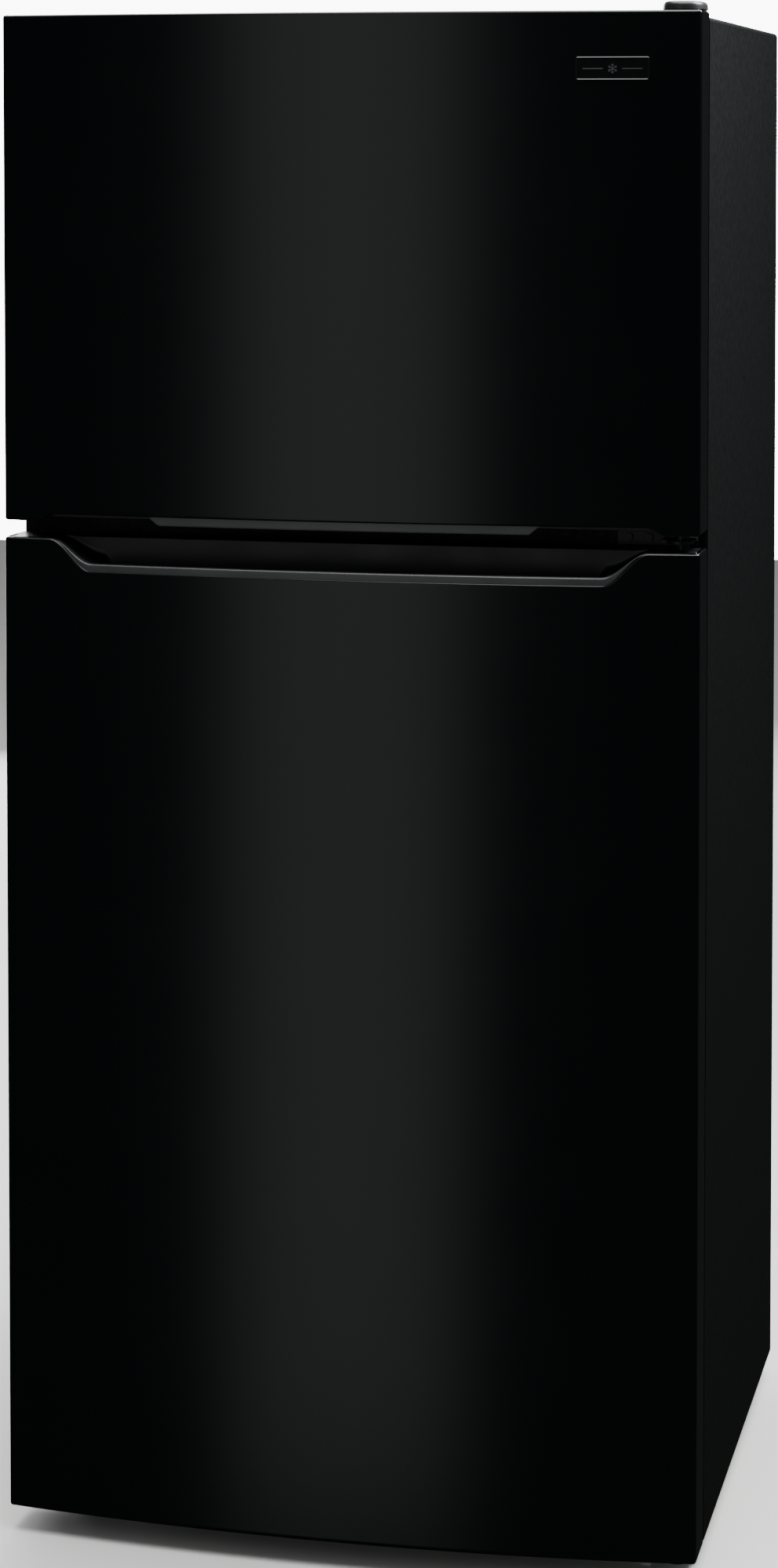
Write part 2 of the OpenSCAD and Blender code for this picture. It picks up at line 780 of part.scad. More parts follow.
module crisper(x0, x1) {
    y1 = crisper_y + crisper_d;
    z1 = crisper_z + crisper_h;
    difference() {
        union() {
            tray(x0, x1, crisper_y, y1, crisper_z, z1, bin_t);
            block(x0, x1, crisper_y, crisper_y + 10, z1 - 26, z1);
            block(x0, x1, y1 - bin_t - 6, y1, z1 - 8, z1);
        }
        block(x0 + 30, x1 - 30, crisper_y - 1, crisper_y + 7, z1 - 27, z1 - 4);
    }
}

module crisper_left() {
    color([0.85, 0.88, 0.9, 0.5]) crisper(-crisper_half, -4);
}

module crisper_right() {
    color([0.85, 0.88, 0.9, 0.5]) crisper(4, crisper_half);
}

module freezer_shelf() {
    z = ice_floor + 206;
    x = ice_half - 3;
    y0 = cab_y + 112;
    y1 = evap_front - 16;
    wires = 17;
    color("#f0f2f1") {
        for (s = [-1, 1]) rod_y(s * (x - 3), y0, y1, z + 3, 3);
        for (y = [y0 + 3, y1 - 3]) rod_x(-x + 3, x - 3, y, z + 3, 3);
        rod_x(-x + 3, x - 3, y0 + 3, z + 14, 2.5);
        for (i = [1:wires]) rod_y(-x + 3 + i * 2 * (x - 3) / (wires + 1), y0 + 1, y1 - 1, z + 5, 1.8);
        for (i = [0:wires + 1]) translate([-x + 3 + i * 2 * (x - 3) / (wires + 1), y0 + 3, z + 2])
            cylinder(r = 1.5, h = 11, $fn = 16);
    }
}

module rod_x(x0, x1, y, z, r) {
    translate([x0, y, z]) rotate([0, 90, 0]) cylinder(r = r, h = x1 - x0, $fn = 16);
}

module rod_y(x, y0, y1, z, r) {
    translate([x, y0, z]) rotate([-90, 0, 0]) cylinder(r = r, h = y1 - y0, $fn = 16);
}

// ---- Hinges ----

module top_hinge() {
    color("#34373a") difference() {
        union() {
            block(hinge_x - 19, hinge_x + 8, hinge_y + 48, hinge_y + 96, cab_top, cab_top + hinge_t);
            block(hinge_x - 14, hinge_x + 8, hinge_y + 44, hinge_y + 48 + hinge_t,
                cab_top, ice_top + 1.5 + hinge_t);
            block(hinge_x - 14, hinge_x + 8, hinge_y, hinge_y + 50, ice_top + 1.5, ice_top + 1.5 + hinge_t);
            translate([hinge_x, hinge_y, ice_top + 1.5]) cylinder(r = 14, h = hinge_t);
            translate([hinge_x, hinge_y, ice_top - cap_h + 3]) cylinder(r = pin_r, h = cap_h);
        }
        screws(screw_r + 0.2, false);
    }
}

module top_hinge_cover() {
    z1 = ice_top + cover_h;
    color("#303234") difference() {
        union() {
            translate([hinge_x, hinge_y, ice_top + 0.8]) cylinder(r = cover_r, h = cover_h - 0.8);
            block(hinge_x - cover_r, hinge_x + cover_r, hinge_y, cab_y + 1, ice_top + 0.8, z1);
            block(hinge_x - cover_r, hinge_x + cover_tail, cab_y, hinge_y + 104, cab_top + 0.2, z1);
        }
        translate([hinge_x, hinge_y, ice_top - 5]) cylinder(r = cover_r - 2, h = cover_h + 3);
        block(hinge_x - cover_r + 2, hinge_x + cover_tail - 2, hinge_y, hinge_y + 102, cab_top - 1, z1 - 2);
    }
}

module centre_hinge() {
    z0 = split_z - hinge_t / 2;
    color("#2c2f31") difference() {
        union() {
            block(hinge_x - 74, hinge_x + 12, cab_y - hinge_t, cab_y, split_z - 8, split_z + 8);
            block(hinge_x - 22, hinge_x + 12, hinge_y, cab_y, z0, z0 + hinge_t);
            translate([hinge_x - 2, hinge_y, z0]) cylinder(r = 14, h = hinge_t);
            translate([hinge_x, hinge_y, food_top - cap_h + 4])
                cylinder(r = pin_r, h = door_gap + 2 * cap_h - 8);
            translate([hinge_x, hinge_y, food_top + 1]) cylinder(r = pin_r + 3, h = door_gap - 2);
        }
        screws(screw_r + 0.2, false);
    }
}

module bottom_hinge() {
    z0 = foot_h - 7;
    color("#2c2f31") difference() {
        union() {
            block(hinge_x - 70, hinge_x - 22, cab_y - hinge_t, cab_y - 0.2, z0, foot_h + 26);
            block(hinge_x - 70, hinge_x + 16, cab_y - hinge_t, cab_y - 0.2, z0, z0 + hinge_t);
            block(hinge_x - 24, hinge_x + 16, hinge_y, cab_y - 0.2, z0, z0 + hinge_t);
            translate([hinge_x - 2, hinge_y, z0]) cylinder(r = 15, h = hinge_t);
            translate([hinge_x, hinge_y, z0]) cylinder(r = pin_r, h = 7 + cap_h - 4);
            translate([hinge_x, hinge_y, z0]) cylinder(r = pin_r + 3, h = 6);
        }
        screws(screw_r + 0.2, false);
    }
}

module hinge_screws() {
    color("#6f7375") screws(screw_r, true);
}

// ---- Feet and rollers ----

module leveling_leg(s) {
    color("#26282a") translate([s * leg_x, leg_y, 0]) {
        cylinder(r1 = 17, r2 = 16, h = 7);
        translate([0, 0, 7]) cylinder(r = 9, h = 8, $fn = 6);
        translate([0, 0, 7]) cylinder(r = leg_r, h = base_z - 9);
    }
}

module leveling_leg_left() {
    leveling_leg(-1);
}

module leveling_leg_right() {
    leveling_leg(1);
}

module rear_roller(s) {
    color("#1c1d1e")
        translate([s * roller_x - roller_w / 2, roller_y, roller_r]) rotate([0, 90, 0]) difference() {
        cylinder(r = roller_r, h = roller_w);
        translate([0, 0, -1]) cylinder(r = axle_r + pin_clear, h = roller_w + 2);
        for (z = [-1, roller_w - 4]) translate([0, 0, z]) ring(axle_r + 7, 6, 5);
    }
}

module rear_roller_left() {
    rear_roller(-1);
}

module rear_roller_right() {
    rear_roller(1);
}

// ---- Upper door ----

// What a door skin encloses: its hollow, and the opening between its back returns.
module inside_of_skin(z0, z1) {
    y = door_back - door_liner_t;
    door_slab(z0 - 1, z1 + 1, skin_t, y - 1.2);
    block(-half_w + 14, half_w - 14, y - 2, door_back + 1, z0 - 1, z1 + 1);
    block(-half_w + skin_t, half_w - skin_t, y - 0.2, door_back + 1, z0 - 1, z1 + 1);
}

module freezer_door_panel() {
    color("#0c0d0e") difference() {
        door_slab(ice_low, ice_top);
        inside_of_skin(ice_low, ice_top);
        rise(rise_half, grip_run, ice_low, grip_lift, ice_low - 1, crown_y - 1, door_back - 8);
    }
}

module hinge_bore(z0, h) {
    translate([hinge_x, hinge_y, z0]) cylinder(r = bore_r, h = h);
}

module freezer_door_top_cap() {
    color("#1a1c1d") difference() {
        door_slab(ice_top - cap_h, ice_top - 0.4, skin_t + 0.2, foam_back);
        hinge_bore(ice_top - cap_h + 2, cap_h);
    }
}

module freezer_door_grip_cap() {
    top = ice_low + grip_lift + grip_deep + 4;
    edge = ice_low + grip_lift;
    color("#222426") difference() {
        union() {
            door_slab(edge, top, skin_t + 0.2, foam_back);
            difference() {
                door_slab(ice_low + 0.4, edge + 0.1, skin_t + 0.2, foam_back);
                rise(rise_half, grip_run, ice_low, grip_lift + 1, ice_low - 1, crown_y - 1, door_back - 22);
            }
            grip_band(edge);
        }
        finger_recess(edge);
        hinge_bore(ice_low - 1, cap_h);
    }
}

// Lighter band that hangs under the middle of the edge, with slanted ends.
module grip_band(edge) {
    z0 = edge - grip_h;
    intersection() {
        difference() {
            door_slab(z0, edge + 0.1, skin_t + 1);
            door_slab(z0 - 1, edge + 1, skin_t + 6);
        }
        translate([0, door_back, 0]) rotate([90, 0, 0]) linear_extrude(door_t + door_bow + 2) polygon([
            [-grip_half, edge + 1], [-grip_half + grip_h, z0 - 1],
            [grip_half - grip_h, z0 - 1], [grip_half, edge + 1]
        ]);
    }
}

module finger_recess(edge) {
    intersection() {
        door_slab(edge - grip_h - 1, edge + grip_deep, skin_t + 6);
        block(-grip_half + 6, grip_half - 6, crown_y, door_back - 26, edge - grip_h - 1, edge + grip_deep);
    }
}

module freezer_door_foam() {
    color("#e8dfc0") {
        door_slab(ice_low + grip_lift + grip_deep + 4.2, ice_top - cap_h - 0.2, skin_t + 0.2, foam_back);
        dyke_ring(ice_dyke, ice_dyke_z0, ice_dyke_z1, door_liner_t, foam_back);
    }
}

// Raised frame round the middle of a door's inner face, drawn in by an inset.
module dyke_ring(half, z0, z1, inset, y0) {
    difference() {
        block(-half + inset, half - inset, y0, dyke_y - inset, z0 + inset, z1 - inset);
        block(-half + dyke_w - inset, half - dyke_w + inset, y0 - 1, dyke_y + 1,
            z0 + dyke_w / 2 - inset, z1 - dyke_w / 2 + inset);
        block(-half - 1, half + 1, dyke_low_y - inset, dyke_y + 1, z0 - 1, z0 + dyke_w / 2 + inset);
        block(-half - 1, half + 1, dyke_low_y - inset, dyke_y + 1, z1 - dyke_w / 2 - inset, z1 + 1);
    }
}

module door_liner(z0, z1, half, dz0, dz1) {
    edge = skin_t + 0.2;
    difference() {
        union() {
            block(-half_w + edge, half_w - edge, door_back - door_liner_t, door_back, z0 + 3, z1 - 3);
            dyke_ring(half, dz0, dz1, 0, door_back - 0.5);
        }
        dyke_ring(half, dz0, dz1, door_liner_t, door_back - door_liner_t - 3);
    }
}

module freezer_door_liner() {
    color("#f1f3f2") door_liner(ice_low, ice_top, ice_dyke, ice_dyke_z0, ice_dyke_z1);
}

// Magnetic gasket: a hollow-backed band round the door's inner face.
module gasket(z0, z1) {
    out = hinge_x - 6;
    front = cab_y - gasket_clear;
    difference() {
        block(-out, out, door_back + 0.1, front, z0, z1);
        block(-out + 20, out - 20, door_back - 1, front + 1, z0 + 20, z1 - 20);
        difference() {
            block(-out + 4, out - 4, door_back + 2, front - 2.5, z0 + 4, z1 - 4);
            block(-out + 16, out - 16, door_back + 1, front, z0 + 16, z1 - 16);
        }
    }
}

module freezer_door_gasket() {
    color("#3a3d3f") gasket(ice_low + 8, ice_top - 14);
}

module freezer_door_racks() {
    color([0.92, 0.94, 0.94, 0.8]) for (z = [ice_floor + 40, ice_floor + 235]) {
        tray(-rack_half, rack_half, door_back + 0.4, rack_y, z, z + 42, bin_t);
        block(-rack_half, rack_half, rack_y - 6, rack_y, z + 62, z + 72);
        for (x = [-rack_half, -bin_t, rack_half - 2 * bin_t])
            block(x, x + 2 * bin_t, rack_y - bin_t, rack_y, z + 40, z + 64);
    }
}

module badge() {
    tilt = asin(badge_x / bow_r);
    color("#101112") translate([0, crown_y + bow_r, badge_z]) rotate([0, 0, tilt])
        translate([0, -bow_r - 0.1, 0]) rotate([90, 0, 0]) {
            linear_extrude(1.6) round_rect(badge_w, badge_h, 3);
            linear_extrude(2.4) difference() {
                round_rect(badge_w, badge_h, 3);
                round_rect(badge_w - 2, badge_h - 2, 2.2);
            }
            for (a = [0, 60, 120]) linear_extrude(2.2) rotate(a) square([12, 1.2], center = true);
            for (s = [-1, 1]) linear_extrude(2.2) translate([s * 22, 0]) square([20, 1.4], center = true);
        }
}

// ---- Lower door ----

module scoop_cut(drop_more, y0, y1) {
    dip(scoop_half, scoop_run, food_top, scoop_drop + drop_more, food_top + 1, y0, y1);
}

module food_door_panel() {
    color("#0c0d0e") difference() {
        door_slab(foot_h, food_top);
        inside_of_skin(foot_h, food_top);
        scoop_cut(lip_h, crown_y - 1, door_back - 8);
    }
}

module food_door_scoop_cap() {
    low = food_top - scoop_drop - pocket_deep - 4;
    lip_z = food_top - scoop_drop - lip_h;
    color("#222426") difference() {
        union() {
            door_slab(low, food_top - 0.4, skin_t + 0.2, foam_back);
            intersection() {
                door_slab(lip_z, food_top);
                translate([0, 0.2, 0.2]) scoop_cut(lip_h, crown_y - 1, door_back - 26);
            }
        }
        scoop_cut(0, crown_y - 1, pocket_back);
        translate([0, 0, low + 4]) linear_extrude(pocket_deep + 1) intersection() {
            door_plan(skin_t + 8);
            translate([0, (crown_y + pocket_back) / 2 - 40])
                round_rect(2 * scoop_half + 20, pocket_back - crown_y + 80, 16);
        }
        hinge_bore(food_top - cap_h, cap_h + 1);
    }
}

module food_door_bottom_cap() {
    color("#1a1c1d") difference() {
        door_slab(foot_h + 0.4, foot_h + cap_h, skin_t + 0.2, foam_back);
        hinge_bore(foot_h - 1, cap_h - 1);
    }
}

module food_door_foam() {
    color("#e8dfc0") {
        door_slab(foot_h + cap_h + 0.2, food_top - scoop_drop - pocket_deep - 4.2, skin_t + 0.2, foam_back);
        dyke_ring(food_dyke, food_dyke_z0, food_dyke_z1, door_liner_t, foam_back);
    }
}

module food_door_liner() {
    color("#f1f3f2") door_liner(foot_h, food_top, food_dyke, food_dyke_z0, food_dyke_z1);
}

module food_door_gasket() {
    color("#3a3d3f") gasket(foot_h + 50, food_top - 13);
}

// Door bins: [left, right, low, high, back face].
bins = [
    [6, bin_half, dairy_z - 6, dairy_z + 84, bin_y],
    [-bin_half, bin_half, food_floor + 520, food_floor + 625, bin_y],
    [-bin_half, bin_half, food_floor + 230, food_floor + 340, bin_y],
    [-bin_half, bin_half, food_floor + 50, food_floor + 150, low_bin_y]
];

module door_bins() {
    color([0.92, 0.94, 0.94, 0.8]) for (b = bins)
        tray(b[0], b[1], door_back + 0.4, b[4], b[2], b[3], bin_t);
}

module dairy_box() {
    color([0.92, 0.94, 0.94, 0.8]) difference() {
        block(-bin_half, -6, door_back + 0.4, bin_y - 10, dairy_z, dairy_z + dairy_h);
        block(-bin_half + bin_t, -6 - bin_t, door_back + 0.4 + bin_t, bin_y,
            dairy_z + bin_t + 10, dairy_z + dairy_h - bin_t);
    }
    color([0.92, 0.94, 0.94, 0.8]) for (x = [-bin_half, -10])
        difference() {
            block(x, x + 4, bin_y - 10.5, bin_y, lid_axis_z - 6, lid_axis_z + 6);
            rod_x(x - 1, x + 5, lid_axis_y, lid_axis_z, 2 + pin_clear);
        }
}

module dairy_lid() {
    x0 = -bin_half + 4.4;
    x1 = -10.4;
    color([0.85, 0.9, 0.95, 0.5]) {
        rod_x(x0, x1, lid_axis_y, lid_axis_z, 3.2);
        rod_x(x0 - 4, x1 + 4, lid_axis_y, lid_axis_z, 2);
        block(x0, x1, lid_axis_y, lid_axis_y + lid_t, lid_axis_z - dairy_h + 12, lid_axis_z);
        block(x0 + 60, x1 - 60, lid_axis_y + 1, lid_axis_y + 8,
            lid_axis_z - dairy_h + 12, lid_axis_z - dairy_h + 16);
    }
}

outer_case();
back_panel();
cabinet_foam();
freezer_liner();
food_liner();
centre_rail();
base_frame();
toe_grille();
compressor();
condenser_coil();
condenser_fan_motor();
drain_pan();
rear_cover();
control_housing();
light_lens();
evaporator();
evaporator_cover();
evaporator_fan_motor();
freezer_shelf();
shelf_frames();
shelf_glass();
crisper_cover();
crisper_glass();
top_hinge();
top_hinge_cover();
centre_hinge();
bottom_hinge();
hinge_screws();
roller_axles();
condenser_fan();
evaporator_fan();
temperature_knob();
freezer_knob();
door_switch();
leveling_leg_left();
leveling_leg_right();
rear_roller_left();
rear_roller_right();
crisper_left();
crisper_right();
humidity_slide_left();
humidity_slide_right();
freezer_door_panel();
freezer_door_top_cap();
freezer_door_grip_cap();
freezer_door_foam();
freezer_door_liner();
freezer_door_gasket();
freezer_door_racks();
badge();
food_door_panel();
food_door_scoop_cap();
food_door_bottom_cap();
food_door_foam();
food_door_liner();
food_door_gasket();
door_bins();
dairy_box();
dairy_lid();
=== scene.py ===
"""Studio scene of a top freezer refrigerator with bowed black doors and a white interior."""
import math

import bmesh
import bpy
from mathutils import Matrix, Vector


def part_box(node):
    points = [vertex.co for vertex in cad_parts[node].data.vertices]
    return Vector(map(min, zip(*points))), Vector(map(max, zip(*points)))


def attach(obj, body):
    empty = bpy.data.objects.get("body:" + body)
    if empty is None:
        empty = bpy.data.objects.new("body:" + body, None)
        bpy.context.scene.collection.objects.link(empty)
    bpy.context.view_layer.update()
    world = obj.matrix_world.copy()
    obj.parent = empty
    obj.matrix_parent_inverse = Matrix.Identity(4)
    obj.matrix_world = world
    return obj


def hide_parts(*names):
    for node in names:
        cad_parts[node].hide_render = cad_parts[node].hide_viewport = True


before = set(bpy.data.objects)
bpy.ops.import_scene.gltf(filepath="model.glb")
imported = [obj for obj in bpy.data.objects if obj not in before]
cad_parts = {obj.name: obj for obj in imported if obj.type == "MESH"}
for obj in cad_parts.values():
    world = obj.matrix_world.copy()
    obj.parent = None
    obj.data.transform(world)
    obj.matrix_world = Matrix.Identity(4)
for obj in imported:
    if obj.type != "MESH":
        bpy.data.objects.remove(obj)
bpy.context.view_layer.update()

MM = 0.001


# ---- Planes of the refrigerator, in millimetres ----
def span(node):
    """Lowest and highest corner of a CAD node in millimetres."""
    low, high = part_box(node)
    return [v / MM for v in low], [v / MM for v in high]


(_, crown_y, foot_z), (HALF_W, door_back, food_top) = span("food_door_panel")
(_, _, ice_low), (_, _, ice_top) = span("freezer_door_panel")
(_, cab_y, _), (_, _, cab_top) = span("outer_case")
HINGE_X = HALF_W - 23                    # hinge axis
HINGE_Y = door_back - 30
DOOR_BOW = 26                            # how far a door's front bows out
DOOR_EDGE = crown_y + DOOR_BOW           # where its front meets its sides
BOW_R = (HALF_W ** 2 + DOOR_BOW ** 2) / (2 * DOOR_BOW)
CORNER_R = 4.5                           # upright edges of the door skins
BACK_RETURN = 13                         # flange of the door skins round the inner panel
SKIN_SHY = 0.4                           # how far that flange stands before the door's back
SKIN_T = 0.9
SCOOP_HALF, SCOOP_RUN, SCOOP_DROP = 278, 50, 26     # dip of the lower door's top edge
LIP_H, LIP_T = 8, 7.5                    # rolled lip along that dip
POCKET_DEEP = 34                         # depth of the finger pocket behind the lip
POCKET_BACK = door_back - 26             # back wall of the pocket and of the recess above it
GRIP_LIFT, GRIP_RUN = 8, 20              # rise of the upper door's lower edge
RISE_HALF = HALF_W - 56                  # half the length of that rise
GRIP_HALF, GRIP_H, GRIP_T = 208, 9, 5    # grip band under that edge
RECESS_H = 40                            # height of the finger recess behind the band
COVER_TAIL = 11                          # how far the hinge cover reaches right of the axis on the cabinet
CAP_IN = 1.4                             # how far the caps stand in from the skin
CAP_SHY = 0.5                            # how far they stop short of the door's back


# ---- Shader tools ----
def linear(code):
    """Linear RGBA of an sRGB hex colour."""
    parts = [int(code[i:i + 2], 16) / 255 for i in (1, 3, 5)]
    return [c / 12.92 if c <= 0.04045 else ((c + 0.055) / 1.055) ** 2.4 for c in parts] + [1.0]


def add(tree, kind, inputs=None, feeds=None, stops=(), **settings):
    """Adds a shader node. inputs gives each socket its value, or the socket that feeds it.
    feeds gives an output the socket that it drives, and stops are a ramp's places and hex colours."""
    node = tree.nodes.new(kind)
    for name, value in settings.items():
        setattr(node, name, value)
    for name, value in (inputs or {}).items():
        if isinstance(value, bpy.types.NodeSocket):
            tree.links.new(value, node.inputs[name])
        else:
            node.inputs[name].default_value = value
    for stop, (place, code) in zip(node.color_ramp.elements if stops else (), stops):
        stop.position, stop.color = place, linear(code)
    for name, socket in (feeds or {}).items():
        tree.links.new(node.outputs[name], socket)
    return node


def per_m(size):
    """Texture scale for features of a size in millimetres."""
    return 1 / (size * MM)


SPREAD = {"From Min": 0.3, "From Max": 0.7}     # where nearly all of a noise texture's output lies


def surface(name, code, roughness, **sockets):
    """A Principled material, with its tree, its shader and its place in metres."""
    material = bpy.data.materials.new(name)
    material.use_nodes = True
    tree = material.node_tree
    shader = tree.nodes["Principled BSDF"]
    shader.inputs["Base Color"].default_value = linear(code)
    shader.inputs["Roughness"].default_value = roughness
    for socket, value in sockets.items():
        shader.inputs[socket.replace("_", " ")].default_value = value
    return material, tree, shader, add(tree, "ShaderNodeTexCoord").outputs["Object"]


# ---- Finishes ----
def door_enamel():
    """Coil-coated steel sheet: gloss black polyester enamel, rolled on, levelled and baked before forming.
    It mirrors softly, with a faint orange peel about 4 mm across."""
    material, tree, shader, place = surface("black_coil_coated_steel", "#07090a", 0.2, IOR=1.5)
    peel = add(tree, "ShaderNodeTexNoise", {"Vector": place, "Scale": per_m(4), "Detail": 2.0}).outputs["Fac"]
    add(tree, "ShaderNodeBump", {"Height": peel, "Distance": 0.004 * MM, "Strength": 1.0},
        {"Normal": shader.inputs["Normal"]})
    haze = add(tree, "ShaderNodeTexNoise",
               {"Vector": place, "Scale": per_m(90), "Detail": 4.0}).outputs["Fac"]
    add(tree, "ShaderNodeMapRange", {"Value": haze, **SPREAD, "To Min": 0.205, "To Max": 0.215},
        {"Result": shader.inputs["Roughness"]})
    add(tree, "ShaderNodeValToRGB", {"Fac": haze}, {"Color": shader.inputs["Base Color"]},
        stops=((0.3, "#020506"), (0.7, "#030607")))
    return material


def case_enamel():
    """Textured powder enamel on the folded case: pebbles about 1.6 mm across that hide dents and marks."""
    material, tree, shader, place = surface("pebbled_case_enamel", "#0a0b0c", 0.42,
                                            IOR=1.5, Specular_IOR_Level=0.25)
    pebble = add(tree, "ShaderNodeTexVoronoi", {"Vector": place, "Scale": per_m(1.6), "Randomness": 1.0},
                 feature="SMOOTH_F1").outputs["Distance"]
    swell = add(tree, "ShaderNodeTexNoise",
                {"Vector": place, "Scale": per_m(7), "Detail": 3.0}).outputs["Fac"]
    under = add(tree, "ShaderNodeBump",
                {"Height": swell, "Distance": 0.12 * MM, "Strength": 1.0}).outputs["Normal"]
    add(tree, "ShaderNodeBump", {"Height": pebble, "Distance": 0.09 * MM, "Strength": 1.0, "Normal": under},
        {"Normal": shader.inputs["Normal"]})
    add(tree, "ShaderNodeValToRGB", {"Fac": pebble}, {"Color": shader.inputs["Base Color"]},
        stops=((0.1, "#0c0e0f"), (0.75, "#060708")))
    add(tree, "ShaderNodeMapRange", {"Value": swell, **SPREAD, "To Min": 0.38, "To Max": 0.5},
        {"Result": shader.inputs["Roughness"]})
    return material


def moulded_plastic(name, dark, light, roughness, grain=0.5, depth=0.012):
    """Injection-moulded ABS: spark-eroded grain under a millimetre, and a slow change of gloss."""
    material, tree, shader, place = surface(name, light, roughness, IOR=1.53)
    fine = add(tree, "ShaderNodeTexNoise",
               {"Vector": place, "Scale": per_m(grain), "Detail": 2.0}).outputs["Fac"]
    slow = add(tree, "ShaderNodeTexNoise",
               {"Vector": place, "Scale": per_m(60), "Detail": 3.0}).outputs["Fac"]
    add(tree, "ShaderNodeBump", {"Height": fine, "Distance": depth * MM, "Strength": 1.0},
        {"Normal": shader.inputs["Normal"]})
    add(tree, "ShaderNodeValToRGB", {"Fac": slow}, {"Color": shader.inputs["Base Color"]},
        stops=((0.35, dark), (0.65, light)))
    add(tree, "ShaderNodeMapRange",
        {"Value": slow, **SPREAD, "To Min": roughness * 0.88, "To Max": roughness * 1.12},
        {"Result": shader.inputs["Roughness"]})
    return material


def vacuum_formed_liner():
    """High-impact polystyrene sheet, drawn warm over a mould: milky, waxy, with waves about 25 mm long."""
    material, tree, shader, place = surface("vacuum_formed_polystyrene", "#eceeec", 0.3, IOR=1.59)
    wave = add(tree, "ShaderNodeTexNoise",
               {"Vector": place, "Scale": per_m(25), "Detail": 2.0}).outputs["Fac"]
    add(tree, "ShaderNodeBump", {"Height": wave, "Distance": 0.06 * MM, "Strength": 1.0},
        {"Normal": shader.inputs["Normal"]})
    return material


def clear_polystyrene(name, code, roughness):
    """Crystal polystyrene mouldings: clear with a cool cast, and faint flow lines about 8 mm apart."""
    material, tree, shader, place = surface(name, code, roughness, IOR=1.59, Transmission_Weight=0.92)
    flow = add(tree, "ShaderNodeTexNoise", {"Vector": place, "Scale": per_m(8), "Detail": 1.0}).outputs["Fac"]
    add(tree, "ShaderNodeBump", {"Height": flow, "Distance": 0.03 * MM, "Strength": 1.0},
        {"Normal": shader.inputs["Normal"]})
    add(tree, "ShaderNodeMapRange",
        {"Value": flow, **SPREAD, "To Min": roughness * 0.8, "To Max": roughness * 1.3},
        {"Result": shader.inputs["Roughness"]})
    return material


def tempered_glass():
    """Float glass, tempered: flat and clear, green where it is seen through its depth."""
    material, tree, shader, place = surface("tempered_shelf_glass", "#e4f3ec", 0.02,
                                            IOR=1.52, Transmission_Weight=1.0)
    roll = add(tree, "ShaderNodeTexNoise",
               {"Vector": place, "Scale": per_m(70), "Detail": 0.0}).outputs["Fac"]
    add(tree, "ShaderNodeBump", {"Height": roll, "Distance": 0.02 * MM, "Strength": 1.0},
        {"Normal": shader.inputs["Normal"]})
    return material


def galvanised_steel():
    """Hot-dip galvanised sheet: zinc crystals, the spangle, about 9 mm across, each with its own grey."""
    material, tree, shader, place = surface("galvanised_sheet", "#9aa0a4", 0.4, Metallic=1.0)
    spangle = add(tree, "ShaderNodeTexVoronoi", {"Vector": place, "Scale": per_m(9)}).outputs["Color"]
    grey = add(tree, "ShaderNodeRGBToBW", {"Color": spangle}).outputs["Val"]
    add(tree, "ShaderNodeValToRGB", {"Fac": grey}, {"Color": shader.inputs["Base Color"]},
        stops=((0.1, "#868c90"), (0.9, "#a9aeb1")))
    add(tree, "ShaderNodeMapRange", {"Value": grey, **SPREAD, "To Min": 0.34, "To Max": 0.5},
        {"Result": shader.inputs["Roughness"]})
    return material


def plated_steel():
    """Zinc-plated and clear-passivated steel: bright, faintly blue, with rolling marks about 1 mm apart."""
    material, tree, shader, place = surface("zinc_plated_steel", "#b4b9bd", 0.32, Metallic=1.0)
    marks = add(tree, "ShaderNodeTexNoise",
                {"Vector": place, "Scale": per_m(1.2), "Detail": 3.0}).outputs["Fac"]
    add(tree, "ShaderNodeValToRGB", {"Fac": marks}, {"Color": shader.inputs["Base Color"]},
        stops=((0.3, "#a3a9ae"), (0.7, "#bec2c5")))
    add(tree, "ShaderNodeMapRange", {"Value": marks, **SPREAD, "To Min": 0.26, "To Max": 0.4},
        {"Result": shader.inputs["Roughness"]})
    return material


def coated_steel(name, code, roughness):
    """Dip-coated steel: a smooth baked film with a fine peel about 2 mm across."""
    material, tree, shader, place = surface(name, code, roughness, IOR=1.5)
    peel = add(tree, "ShaderNodeTexNoise", {"Vector": place, "Scale": per_m(2), "Detail": 2.0}).outputs["Fac"]
    add(tree, "ShaderNodeBump", {"Height": peel, "Distance": 0.02 * MM, "Strength": 1.0},
        {"Normal": shader.inputs["Normal"]})
    add(tree, "ShaderNodeMapRange",
        {"Value": peel, **SPREAD, "To Min": roughness * 0.85, "To Max": roughness * 1.15},
        {"Result": shader.inputs["Roughness"]})
    return material


def fin_aluminium():
    """Thin rolled aluminium fins: bright mill finish, dulled a little in patches."""
    material, tree, shader, place = surface("mill_finish_aluminium", "#c9cccd", 0.3, Metallic=1.0)
    dull = add(tree, "ShaderNodeTexNoise",
               {"Vector": place, "Scale": per_m(14), "Detail": 4.0}).outputs["Fac"]
    add(tree, "ShaderNodeMapRange", {"Value": dull, **SPREAD, "To Min": 0.22, "To Max": 0.42},
        {"Result": shader.inputs["Roughness"]})
    add(tree, "ShaderNodeValToRGB", {"Fac": dull}, {"Color": shader.inputs["Base Color"]},
        stops=((0.3, "#bcc0c2"), (0.7, "#d2d4d5")))
    return material


def soft_gasket():
    """Extruded soft PVC: matt charcoal, with draw lines about 0.7 mm apart."""
    material, tree, shader, place = surface("soft_pvc_gasket", "#2f3233", 0.55, IOR=1.53)
    draw = add(tree, "ShaderNodeTexNoise",
               {"Vector": place, "Scale": per_m(0.7), "Detail": 2.0}).outputs["Fac"]
    add(tree, "ShaderNodeBump", {"Height": draw, "Distance": 0.02 * MM, "Strength": 1.0},
        {"Normal": shader.inputs["Normal"]})
    add(tree, "ShaderNodeValToRGB", {"Fac": draw}, {"Color": shader.inputs["Base Color"]},
        stops=((0.3, "#292c2d"), (0.7, "#353839")))
    return material


